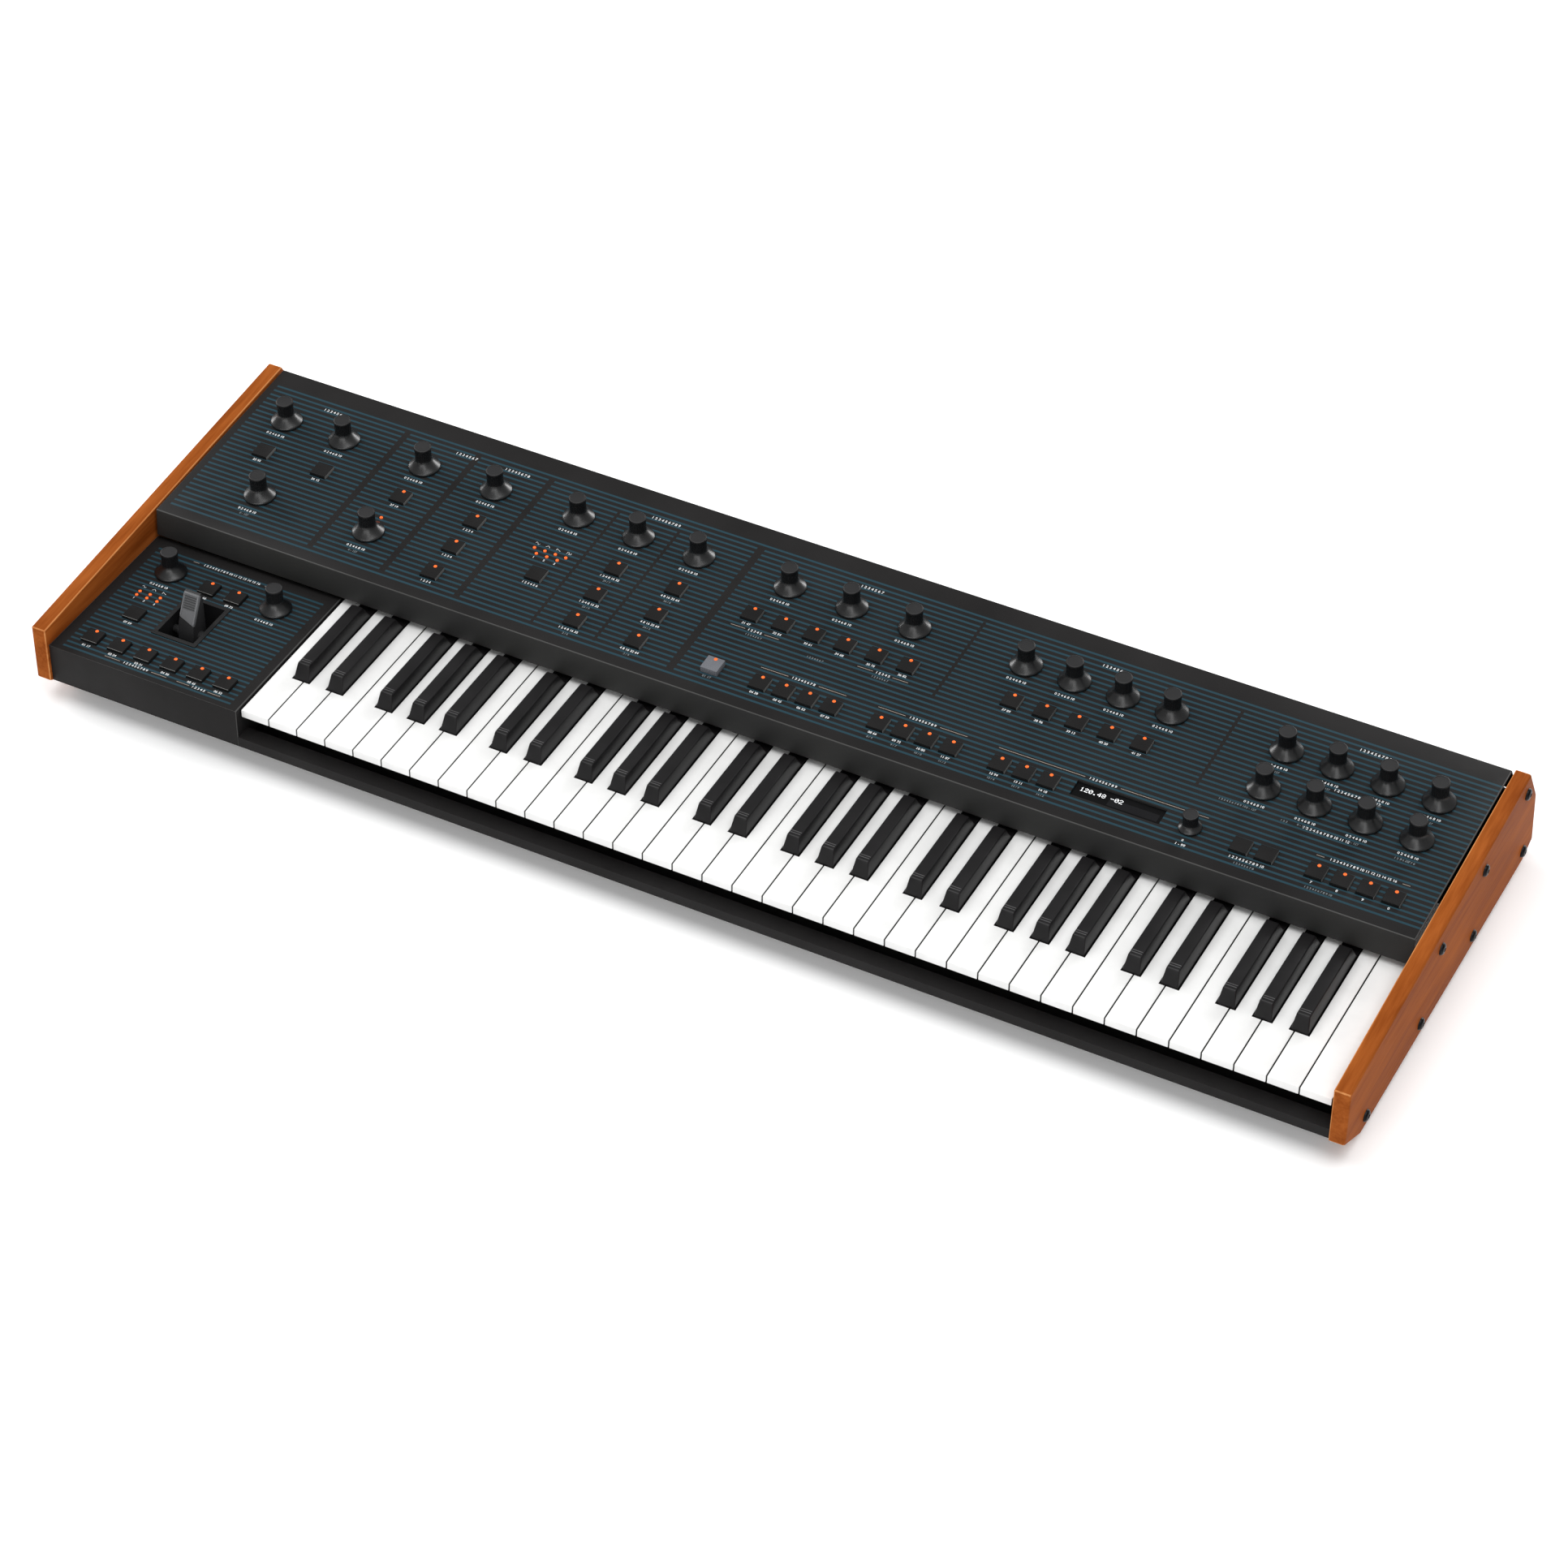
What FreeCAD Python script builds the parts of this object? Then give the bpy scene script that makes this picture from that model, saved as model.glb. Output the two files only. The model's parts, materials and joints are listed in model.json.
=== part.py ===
"""A 61-key synthesizer: a folded steel case between two wood cheeks, a sloped control panel
behind the keys, and a lower performance panel with a spring-centred lever at their left.

Frame: X to the player's right, Y away from the player, Z up, millimetres. The origin is the
middle of the footprint, on the surface that the rubber feet stand on.
"""

import FreeCAD, Part
import math
import os
from types import SimpleNamespace

from FreeCAD import Placement, Rotation, Vector

DIMENSIONS = {
    # case
    "case_width": 1034.5,
    "case_depth": 354.5,
    "column_zero": 162.0,
    "cheek_thick": 12.0,
    "cheek_round": 2.0,
    "cheek_front_drop": 30.5,
    "cheek_front_rise": 16.5,
    "cheek_rear_rise": 40.5,
    "cheek_rear_run": 26.5,
    "sheet_thick": 1.6,
    "foot_height": 6.0,
    "foot_diameter": 18.0,
    "foot_inset_x": 35.0,
    "foot_inset_y": 50.0,
    "rear_corner": 7.0,
    "panel_gap": 2.0,
    # keyboard, measured from the key fronts and the key tops
    "key_pitch": 23.5,
    "white_keys": 36,
    "key_gap": 1.0,
    "key_side_gap": 2.5,
    "key_setback": 7.5,
    "key_top": 53.0,
    "key_thick": 6.3,
    "key_dip": 10.0,
    "black_setback": 48.5,
    "black_width": 13.0,
    "black_top_width": 9.6,
    "black_rise": 12.0,
    "black_front_run": 4.5,
    "black_rear_run": 7.0,
    "black_shift_two": 0.10,
    "black_shift_three": 0.14,
    "pivot_back": 205.0,
    "rod_diameter": 3.0,
    "fin_thick": 1.5,
    "fin_length": 12.5,
    "fin_height": 12.0,
    "felt_thick": 3.0,
    "felt_width": 10.0,
    "felt_setback": 28.0,
    "felt_gap": 0.4,
    # upper panel, measured from the key fronts and the key tops
    "fascia_back": 137.0,
    "fascia_foot": 5.5,
    "fascia_hem": 8.0,
    "fascia_lean": 2.0,
    "fascia_top": 28.0,
    "panel_slope": 3.55,
    "rear_inset": 9.0,
    "rear_run": 18.447,
    "rear_top": 8.0,
    # performance panel
    "low_panel_rise": 1.5,
    "low_panel_setback": -5.0,
    "low_panel_gap": 1.0,
    "ledge_drop": 22.5,
    "ledge_depth": 13.0,
    "front_drop": 31.0,
    "pan_foot_setback": 23.0,
    # knobs and their potentiometers
    "skirt_diameter": 24.5,
    "knob_neck": 12.6,
    "knob_collar": 13.2,
    "knob_height": 20.5,
    "knob_chamfer": 0.9,
    "skirt_rim": 1.6,
    "skirt_height": 8.2,
    "encoder_skirt": 17.0,
    "encoder_neck": 11.0,
    "encoder_collar": 11.6,
    "encoder_height": 14.0,
    "encoder_skirt_height": 4.6,
    "knob_lift": 0.6,
    "stem_diameter": 6.0,
    "stem_length": 10.0,
    "pot_width": 16.0,
    "pot_height": 8.0,
    "running_fit": 0.05,
    "hole_room": 0.5,
    "lamp_diameter": 3.2,
    "lamp_proud": 0.4,
    "lamp_length": 5.4,
    "lamp_room": 0.1,
    # push caps
    "cap_width": 13.5,
    "cap_proud": 2.6,
    "latch_proud": 4.6,
    "cap_clearance": 0.3,
    "cap_flange": 1.2,
    # lever
    "pocket_width": 31.0,
    "pocket_length": 43.0,
    "pocket_depth": 30.0,
    "pocket_wall": 1.8,
    "pocket_rim": 3.4,
    "pocket_lip": 0.8,
    "pocket_play": 0.4,
    "lever_width": 13.0,
    "lever_rise": 31.0,
    "lever_drop": 12.0,
    "lever_hub": 18.0,
    "trunnion_diameter": 6.0,
    # rear, its columns measured from the right cheek's inner face, the inlet's from the left one's
    "socket_drop": 18.0,
    "socket_gap": 0.2,
    "rear_flange": 14.0,
    "rear_wall_drop": 2.5,
    "jack_inset": 60.0,
    "jack_bore": 6.6,
    "jack_bush": 11.0,
    "jack_pitch": 28.0,
    "jack_body": 15.0,
    "jack_length": 18.0,
    "jack_proud": 3.0,
    "din_inset": 260.0,
    "din_diameter": 15.0,
    "din_pitch": 30.0,
    "din_wall": 1.0,
    "din_depth": 9.0,
    "din_length": 16.0,
    "din_proud": 1.2,
    "usb_inset": 365.0,
    "usb_width": 12.0,
    "usb_height": 11.0,
    "usb_wall": 1.5,
    "inlet_inset": 70.0,
    "rocker_pitch": 27.0,
    "rocker_width": 12.6,
    "rocker_height": 17.6,
    "rocker_room": 0.8,
    "rocker_pin": 3.0,
    # display
    "display_width": 68.0,
    "display_height": 15.5,
    "display_border": 3.0,
    "display_thick": 3.0,
}

doc = FreeCAD.newDocument("synthesizer")
sheet = doc.addObject("Spreadsheet::Sheet", "Dimensions")
for row, (alias, value) in enumerate(DIMENSIONS.items(), start=1):
    sheet.set(f"A{row}", alias)
    sheet.set(f"B{row}", str(value))
    sheet.setAlias(f"B{row}", alias)
doc.recompute()
D = SimpleNamespace(**{alias: float(sheet.get(alias)) for alias in DIMENSIONS})

# Places worked out from the sheet.
X_AXIS = Vector(1, 0, 0)
INNER_HALF = D.case_width / 2 - D.cheek_thick
KEYS_RIGHT = INNER_HALF - D.key_side_gap
KEYS_LEFT = KEYS_RIGHT - D.key_pitch * D.white_keys
KEYS_FRONT = -D.case_depth / 2 + D.key_setback
PAN_FLOOR = D.foot_height + D.sheet_thick
REAR_BACK = D.case_depth - D.key_setback - D.rear_inset
SLOPE = math.radians(D.panel_slope)
PANEL_DEPTH = (REAR_BACK - D.rear_run - D.fascia_back - D.fascia_lean) / math.cos(SLOPE)
OCTAVE = 7
OCTAVES = int(D.white_keys) // OCTAVE
KNOB_SIDES = 18
FOOT_SIDES = 24
SOCKET_SIDES = 12
SMALL_SIDES = 8


def back(distance):
    """Y of a place this far behind the key fronts."""
    return KEYS_FRONT + distance


def over(height):
    """Z of a place this far above the key tops."""
    return D.key_top + height


# The upper panel's own frame: along the panel from its front edge, and out of its face.
UPPER = Placement(
    Vector(0, back(D.fascia_back + D.fascia_lean), over(D.fascia_top)),
    Rotation(X_AXIS, D.panel_slope),
)
LOWER = Placement(Vector(0, KEYS_FRONT, over(D.low_panel_rise)), Rotation())

# ---------------------------------------------------------------- control layout
# Columns start at column_zero from the left cheek, and rows at the panel's front edge.
ROW_TOP, ROW_ENVELOPE, ROW_LOW = 129.3, 88.2, 47.3
BUTTON_ROWS = (29.2, 60.1, 91.2)
FINE, COARSE, STEP, WIDE = 38.1, 50.6, 18.95, 25.2


def run(start, pitch, count, row):
    """A row of places at one pitch."""
    return [(start + pitch * i, row) for i in range(count)]


UPPER_KNOBS = (
    run(-125.0, 51.0, 2, ROW_TOP)
    + [(-98.1, ROW_LOW)]
    + [(-3.5, ROW_TOP), (-3.5, ROW_LOW), (58.7, ROW_TOP)]
    + run(129.5, COARSE, 3, ROW_TOP)
    + run(306.2, COARSE, 3, ROW_TOP)
    + run(496.4, 38.0, 4, ROW_TOP)
    + run(698.0, FINE, 4, ROW_TOP)
    + run(698.0, FINE, 4, ROW_ENVELOPE)
)
KNOB_NAMES = [
    "knob_volume", "knob_balance", "knob_tune", "knob_rate", "knob_detune", "knob_glide",
    "knob_mod_depth", "knob_mod_rate", "knob_mod_delay", "knob_one_shape", "knob_one_tune",
    "knob_one_mix", "knob_cutoff", "knob_resonance", "knob_contour", "knob_track",
    "knob_filter_attack", "knob_filter_decay", "knob_filter_sustain", "knob_filter_release",
    "knob_loud_attack", "knob_loud_decay", "knob_loud_sustain", "knob_loud_release",
]
ENCODER = (667.7, 30.7)
LOWER_KNOBS = {"knob_bend_rate": (-128.6, 107.2), "knob_bend_depth": (-37.2, 107.2)}
UPPER_CAPS = (
    run(-122.0, 51.6, 2, BUTTON_ROWS[2])
    + [(-1.6, BUTTON_ROWS[2]), (132.4, BUTTON_ROWS[1])]
    + [(column, row) for column in (62.0, 182.0, 232.4) for row in BUTTON_ROWS]
    + run(295.0, WIDE, 6, BUTTON_ROWS[2])
    + run(503.3, WIDE, 5, BUTTON_ROWS[2])
    + run(333.6, STEP, 4, BUTTON_ROWS[0])
    + run(428.2, STEP, 4, BUTTON_ROWS[0])
    + run(522.9, STEP, 3, BUTTON_ROWS[0])
    + run(706.5, STEP, 2, BUTTON_ROWS[0])
    + run(762.4, STEP, 4, BUTTON_ROWS[0])
)
LATCH_CAP = [(295.4, BUTTON_ROWS[0])]
LOWER_CAPS = [(-125.4, 53.5), (-92.6, 103.6), (-69.6, 103.6)] + run(-137.6, 22.76, 6, 17.4)
UPPER_LIGHTS = run(116.0, 8.8, 4, 86.3) + run(120.4, 8.8, 3, 81.2) + [(-3.4, 65.6)]
LOWER_LIGHTS = run(-137.4, 8.9, 3, 78.8) + run(-137.4, 8.9, 3, 74.2)
DISPLAY = (612.6, 32.5)
POCKET = (-84.5, 66.5)


# ---------------------------------------------------------------- building helpers
def sketch_on(body, name, plane, outline):
    """A closed sketch of straight lines on one of the body's own planes."""
    sketch = body.newObject("Sketcher::SketchObject", name)
    origin = {"XY": 3, "XZ": 4, "YZ": 5}[plane]
    sketch.AttachmentSupport = (body.Origin.OriginFeatures[origin], [""])
    sketch.MapMode = "FlatFace"
    corners = [Vector(x, y, 0) for x, y in outline]
    for start, end in zip(corners, corners[1:] + corners[:1]):
        sketch.addGeometry(Part.LineSegment(start, end), False)
    return sketch


def padded(name, plane, outline, length, place=None, midplane=False, reverse=False):
    """A body made by one pad, whose length is an expression on the sheet."""
    body = doc.addObject("PartDesign::Body", name)
    body.Label = name
    pad = body.newObject("PartDesign::Pad", f"{name}_pad")
    pad.Profile = sketch_on(body, f"{name}_outline", plane, outline)
    pad.setExpression("Length", length)
    pad.Midplane = midplane
    pad.Reversed = reverse
    body.Placement = place or Placement()
    return body


def box(name, size, place, **expressions):
    """A Part box; keyword arguments bind its sizes to the sheet."""
    solid = doc.addObject("Part::Box", name)
    solid.Length, solid.Width, solid.Height = size
    solid.Placement = place
    for prop, expression in expressions.items():
        solid.setExpression(prop, expression)
    return solid


def cylinder(name, radius, height, place, **expressions):
    """A Part cylinder; keyword arguments bind its sizes to the sheet."""
    solid = doc.addObject("Part::Cylinder", name)
    solid.Radius, solid.Height = radius, height
    solid.Placement = place
    for prop, expression in expressions.items():
        solid.setExpression(prop, expression)
    return solid


def prism(name, radius, height, place, sides=SMALL_SIDES):
    """A many-sided bar, for small round things that repeat."""
    solid = doc.addObject("Part::Prism", name)
    solid.Polygon, solid.Height = sides, height
    solid.Placement = place
    solid.setExpression("Circumradius", radius)
    return solid


def clear_of(radius, sides=SMALL_SIDES):
    """Expression for a many-sided hole whose flats stay outside a round of this radius."""
    return f"({radius}) / cos(180 deg / {sides})"


def faceted(name, sections, sides=KNOB_SIDES):
    """A many-sided turned form through sections of a radius and a height, in flat faces."""
    turns = [2 * math.pi * i / sides for i in range(sides)]
    rings = [
        [Vector(radius * math.cos(t), radius * math.sin(t), height) for t in turns]
        for radius, height in sections
    ]
    outlines = [rings[0], rings[-1]]
    for low, high in zip(rings, rings[1:]):
        outlines += [[low[i - 1], low[i], high[i], high[i - 1]] for i in range(sides)]
    faces = [Part.Face(Part.makePolygon(corners + corners[:1])) for corners in outlines]
    form = doc.addObject("Part::Feature", name)
    form.Shape = Part.Solid(Part.Shell(faces))
    return form


def joined(name, pieces):
    fuse = doc.addObject("Part::MultiFuse", name)
    fuse.Shapes = pieces
    fuse.Label = name
    return fuse


def cut(name, base, tools):
    """The base with the tools taken away."""
    tool = tools[0]
    if len(tools) > 1:
        tool = doc.addObject("Part::Compound", f"{name}_tools")
        tool.Links = tools
    result = doc.addObject("Part::Cut", name)
    result.Base, result.Tool = base, tool
    result.Label = name
    return result


def group(name, shapes):
    """Like pieces that share one node, each a solid of its own."""
    holder = doc.addObject("Part::Feature", name)
    holder.Shape = Part.makeCompound(shapes)
    holder.Label = name
    return holder


def copies(master, places):
    """Copies of one master's shape, each moved by a placement."""
    doc.recompute()
    shapes = []
    for place in places:
        shape = master.Shape.copy()
        shape.Placement = place.multiply(shape.Placement)
        shapes.append(shape)
    return shapes


def at(frame, column, row, height=0.0):
    """A placement on a panel: its column, and its row and height in the panel's frame."""
    across = D.column_zero - INNER_HALF + column
    return frame.multiply(Placement(Vector(across, row, height), Rotation()))


def folded(path, thick):
    """The closed outline of a folded sheet whose outer face follows the path."""
    def shifted(a, b):
        length = math.dist(a, b)
        side = ((a[1] - b[1]) / length * thick, (b[0] - a[0]) / length * thick)
        return [(p[0] + side[0], p[1] + side[1]) for p in (a, b)]

    lines = [shifted(a, b) for a, b in zip(path, path[1:])]
    inner = [lines[0][0]]
    for (a, b), (c, e) in zip(lines, lines[1:]):
        u, v = (b[0] - a[0], b[1] - a[1]), (e[0] - c[0], e[1] - c[1])
        t = ((c[0] - a[0]) * v[1] - (c[1] - a[1]) * v[0]) / (u[0] * v[1] - u[1] * v[0])
        inner.append((a[0] + u[0] * t, a[1] + u[1] * t))
    inner.append(lines[-1][1])
    return path + inner[::-1]


def edges_where(shape, test):
    """Names of the edges whose middle and direction pass a test."""
    return [f"Edge{i}" for i, e in enumerate(shape.Edges, start=1) if test(e)]


# ---------------------------------------------------------------- case
def cheek_outline():
    """Side view of a cheek, from its front foot round by the back."""
    front, rear = -D.case_depth / 2, D.case_depth / 2
    return [
        (front, over(-D.cheek_front_drop)),
        (back(D.pan_foot_setback), D.foot_height),
        (back(REAR_BACK) - 10.0, D.foot_height),
        (rear, D.foot_height + D.rear_corner),
        (rear - D.rear_corner, over(D.rear_top)),
        (rear - D.cheek_rear_run, over(D.cheek_rear_rise)),
        (front, over(D.cheek_front_rise)),
    ]


def cheek(name, side):
    """A wood cheek, its outer edges rounded."""
    inner = side * INNER_HALF
    body = padded(
        name, "YZ", cheek_outline(), "Dimensions.cheek_thick",
        Placement(Vector(inner, 0, 0), Rotation()), reverse=side < 0,
    )
    doc.recompute()
    outer = side * D.cheek_thick

    def on_outer_face(edge):
        return all(abs(v.X - outer) < 0.01 for v in edge.Vertexes)

    pad = body.Tip
    edges = edges_where(pad.Shape, on_outer_face)
    rounding = body.newObject("PartDesign::Fillet", f"{name}_round")
    rounding.Base = (pad, edges)
    rounding.setExpression("Radius", "Dimensions.cheek_round")
    return body


def case_pan():
    """Bottom pan: ledge under the keys, front face, sloped foot and flat bottom."""
    front = back(D.low_panel_setback)
    path = [
        (front + D.ledge_depth, over(-D.ledge_drop)),
        (front, over(-D.ledge_drop)),
        (front, over(-D.front_drop)),
        (back(D.pan_foot_setback), D.foot_height),
        (back(REAR_BACK), D.foot_height),
    ]
    fold = padded(
        "pan_fold", "YZ", folded(path, D.sheet_thick),
        "Dimensions.case_width - 2 * Dimensions.cheek_thick", midplane=True,
    )
    width = KEYS_LEFT - D.low_panel_gap + INNER_HALF
    notch = box(
        "pan_notch", (width, 40, D.ledge_drop),
        Placement(Vector(-INNER_HALF, front - 1, over(-D.front_drop)), Rotation()),
    )
    return cut("case_pan", fold, [notch])


def top_panel():
    """Fascia, sloped control face and rear slope, folded from one sheet."""
    foot = (back(D.fascia_back), over(D.fascia_foot))
    front = (UPPER.Base.y, UPPER.Base.z)
    ridge = UPPER.multVec(Vector(0, PANEL_DEPTH, 0))
    path = [
        (foot[0] + D.fascia_hem, foot[1]),
        foot,
        front,
        (ridge.y, ridge.z),
        (back(REAR_BACK), over(D.rear_top)),
    ]
    fold = padded(
        "top_fold", "YZ", folded(path[::-1], D.sheet_thick),
        "Dimensions.case_width - 2 * Dimensions.cheek_thick - 2 * Dimensions.panel_gap",
        midplane=True,
    )
    return cut("top_panel", fold, panel_holes("upper", UPPER))


def round_hole(name, frame, column, row, radius):
    """A many-sided hole through a panel, clear of a round of this radius."""
    return prism(name, clear_of(radius), 10, at(frame, column, row, -5))


def square_hole(name, frame, column, row, width, length):
    place = at(frame, column - width / 2, row - length / 2, -5)
    return box(name, (width, length, 10), place)


def panel_holes(side, frame):
    """Every opening that a panel has for its knobs, caps, lamps and windows."""
    upper = side == "upper"
    knobs = UPPER_KNOBS + [ENCODER] if upper else list(LOWER_KNOBS.values())
    caps = UPPER_CAPS + LATCH_CAP if upper else LOWER_CAPS
    lights = UPPER_LIGHTS if upper else LOWER_LIGHTS
    stem = "Dimensions.stem_diameter / 2 + Dimensions.hole_room"
    lamp = "Dimensions.lamp_diameter / 2 + Dimensions.lamp_room"
    opening = D.cap_width + 2 * D.cap_clearance
    holes = [round_hole(f"{side}_stem_hole", frame, x, y, stem) for x, y in knobs]
    holes += [round_hole(f"{side}_light_hole", frame, x, y, lamp) for x, y in lights]
    holes += [square_hole(f"{side}_cap_hole", frame, x, y, opening, opening) for x, y in caps]
    if upper:
        holes.append(
            square_hole("display_hole", frame, *DISPLAY, D.display_width, D.display_height)
        )
    else:
        wall = 2 * D.pocket_wall + 2 * D.socket_gap
        holes.append(
            square_hole("pocket_hole", frame, *POCKET, D.pocket_width + wall, D.pocket_length + wall)
        )
    return holes


def performance_panel():
    """Lower control panel: its face, its front and the wall beside the lowest key."""
    front = back(D.low_panel_setback)
    top = over(D.low_panel_rise)
    right = KEYS_LEFT - D.low_panel_gap
    path = [(front, over(-D.front_drop)), (front, top), (back(D.fascia_back + 4.0), top)]
    fold = padded(
        "low_fold", "YZ", folded(path[::-1], D.sheet_thick),
        "Dimensions.case_width - 2 * Dimensions.cheek_thick - Dimensions.key_side_gap"
        " - Dimensions.key_pitch * Dimensions.white_keys - Dimensions.low_panel_gap",
        Placement(Vector(-INNER_HALF, 0, 0), Rotation()),
    )
    wall = box(
        "low_wall",
        (D.sheet_thick, D.fascia_back - D.low_panel_setback, top - over(-D.front_drop)),
        Placement(Vector(right - D.sheet_thick, front, over(-D.front_drop)), Rotation()),
        Length="Dimensions.sheet_thick",
    )
    shell = joined("low_shell", [fold, wall])
    return cut("performance_panel", shell, panel_holes("lower", LOWER))


def rear_socket_places():
    """X of every rear opening, seen from the front: inlet at the left, jacks at the right."""
    jacks = [INNER_HALF - D.jack_inset - D.jack_pitch * i for i in range(6)]
    dins = [INNER_HALF - D.din_inset - D.din_pitch * i for i in range(3)]
    usb = INNER_HALF - D.usb_inset
    inlet = -INNER_HALF + D.inlet_inset
    return SimpleNamespace(
        jacks=jacks, dins=dins, usb=usb, inlet=inlet, rocker=inlet + D.rocker_pitch
    )


REAR = rear_socket_places()
REAR_Z = over(-D.socket_drop)
REAR_Y = back(REAR_BACK)
OUTWARD = Rotation(X_AXIS, -90)
INLET = SimpleNamespace(width=28.0, height=21.0, wall=2.0)


def rear_place(x, out=0.0):
    """A socket's own frame: its axis out of the rear wall."""
    return Placement(Vector(x, REAR_Y + out, REAR_Z), OUTWARD)


def rear_panel():
    """Upright rear wall with a foot flange, and a hole for each socket."""
    path = [
        (REAR_Y - D.rear_flange, PAN_FLOOR),
        (REAR_Y, PAN_FLOOR),
        (REAR_Y, over(D.rear_top) - D.rear_wall_drop),
    ]
    wall = padded(
        "rear_fold", "YZ", folded(path, D.sheet_thick),
        "Dimensions.case_width - 2 * Dimensions.cheek_thick", midplane=True,
    )
    gap = D.socket_gap
    jack = clear_of("(Dimensions.jack_bush + Dimensions.socket_gap) / 2", SOCKET_SIDES)
    din = clear_of(
        "(Dimensions.din_diameter + Dimensions.socket_gap) / 2 + Dimensions.din_wall",
        SOCKET_SIDES,
    )
    room = 2 * D.rocker_room + INLET.wall + gap
    holes = [prism("jack_hole", jack, 10, rear_place(x, -5), SOCKET_SIDES) for x in REAR.jacks]
    holes += [prism("din_hole", din, 10, rear_place(x, -5), SOCKET_SIDES) for x in REAR.dins]
    holes += [
        rear_window("usb_window", REAR.usb, D.usb_width + gap, D.usb_height + gap),
        rear_window("inlet_window", REAR.inlet, INLET.width + gap, INLET.height + gap),
        rear_window("rocker_window", REAR.rocker, D.rocker_width + room, D.rocker_height + room),
    ]
    return cut("rear_panel", wall, holes)


def rear_window(name, x, width, height, depth=10.0, out=5.0):
    """A box centred on a socket's place, ending this far outside the rear wall."""
    corner = Vector(x - width / 2, REAR_Y + out - depth, REAR_Z - height / 2)
    return box(name, (width, depth, height), Placement(corner, Rotation()))


def jack_sockets():
    """Audio jacks: a body behind the wall, a bush through it and a plain bore."""
    half = D.jack_body / 2
    body = box(
        "jack_body", (D.jack_body, D.jack_body, D.jack_length),
        Placement(Vector(-half, -half, -D.jack_length - D.sheet_thick), Rotation()),
        Length="Dimensions.jack_body", Width="Dimensions.jack_body",
    )
    bush = prism(
        "jack_bush", "Dimensions.jack_bush / 2", D.jack_proud + 5,
        Placement(Vector(0, 0, -5), Rotation()), SOCKET_SIDES,
    )
    bore = prism(
        "jack_bore", "Dimensions.jack_bore / 2", 2 * D.jack_length,
        Placement(Vector(0, 0, -1.5 * D.jack_length), Rotation()), SOCKET_SIDES,
    )
    jack = cut("jack_master", joined("jack_solid", [bush, body]), [bore])
    return group("jack_sockets", copies(jack, [rear_place(x) for x in REAR.jacks]))


def din_sockets():
    """Round five-pin sockets: a cup with a flat insert behind the wall."""
    shell = prism(
        "din_shell", "Dimensions.din_diameter / 2 + Dimensions.din_wall",
        D.din_length + D.din_proud, Placement(Vector(0, 0, -D.din_length), Rotation()),
        SOCKET_SIDES,
    )
    cup = prism(
        "din_cup", "Dimensions.din_diameter / 2", D.din_depth + 3,
        Placement(Vector(0, 0, -D.din_depth), Rotation()), SOCKET_SIDES,
    )
    din = cut("din_master", shell, [cup])
    return group("din_sockets", copies(din, [rear_place(x) for x in REAR.dins]))


def usb_socket():
    """A square data socket, open at the back of the case."""
    wall = 2 * D.usb_wall
    shell = rear_window("usb_shell", REAR.usb, D.usb_width, D.usb_height, depth=17.0, out=0.6)
    hollow = rear_window(
        "usb_hollow", REAR.usb, D.usb_width - wall, D.usb_height - wall, depth=12.0, out=1.0
    )
    return cut("usb_socket", shell, [hollow])


def mains_inlet():
    """Inlet with the rocker switch's housing moulded beside it."""
    well_width = D.rocker_width + 2 * D.rocker_room
    well_height = D.rocker_height + 2 * D.rocker_room
    mid = (REAR.inlet + REAR.rocker) / 2 - 3.0
    flange = rear_window("inlet_flange", mid, 60.0, 27.0, depth=2.0, out=2.0)
    shell = rear_window("inlet_shell", REAR.inlet, INLET.width, INLET.height, 24.0, 1.0)
    hollow = rear_window("inlet_hollow", REAR.inlet, 24.2, 16.6, 17.0, 3.0)
    housing = rear_window(
        "rocker_housing", REAR.rocker, well_width + INLET.wall, well_height + INLET.wall, 18.0, 1.0
    )
    well = rear_window("rocker_well", REAR.rocker, well_width, well_height, 15.0, 3.0)
    moulding = joined("inlet_moulding", [flange, shell, housing])
    pin = cylinder(
        "rocker_pin", 1, well_width + INLET.wall / 2,
        Placement(
            Vector(REAR.rocker - well_width / 2 - INLET.wall / 4, REAR_Y, REAR_Z),
            Rotation(Vector(0, 1, 0), 90),
        ),
        Radius="Dimensions.rocker_pin / 2",
    )
    return joined("mains_inlet", [cut("inlet_body", moulding, [hollow, well]), pin])


def power_rocker():
    """Rocker with two sloped faces, turning on the pin across its well."""
    half = D.rocker_height / 2
    outline = [
        (-6.5, -3.0), (-6.5, 3.0), (1.6, half), (4.2, half),
        (2.6, 0), (4.2, -half), (1.6, -half),
    ]
    block = padded(
        "rocker_block", "YZ", outline, "Dimensions.rocker_width",
        Placement(Vector(REAR.rocker, REAR_Y, REAR_Z), Rotation()), midplane=True,
    )
    bore = cylinder(
        "rocker_bore", 1, 2 * D.rocker_width,
        Placement(
            Vector(REAR.rocker - D.rocker_width, REAR_Y, REAR_Z), Rotation(Vector(0, 1, 0), 90)
        ),
        Radius="Dimensions.rocker_pin / 2 + Dimensions.running_fit",
    )
    return cut("power_rocker", block, [bore])


def rubber_feet():
    """Four feet under the pan."""
    foot = prism(
        "foot_master", "Dimensions.foot_diameter / 2", D.foot_height, Placement(), FOOT_SIDES
    )
    places = [
        Placement(Vector(x, y, 0), Rotation())
        for x in (-INNER_HALF + D.foot_inset_x, INNER_HALF - D.foot_inset_x)
        for y in (back(D.foot_inset_y), back(REAR_BACK - D.foot_inset_y))
    ]
    return group("rubber_feet", copies(foot, places))


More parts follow.
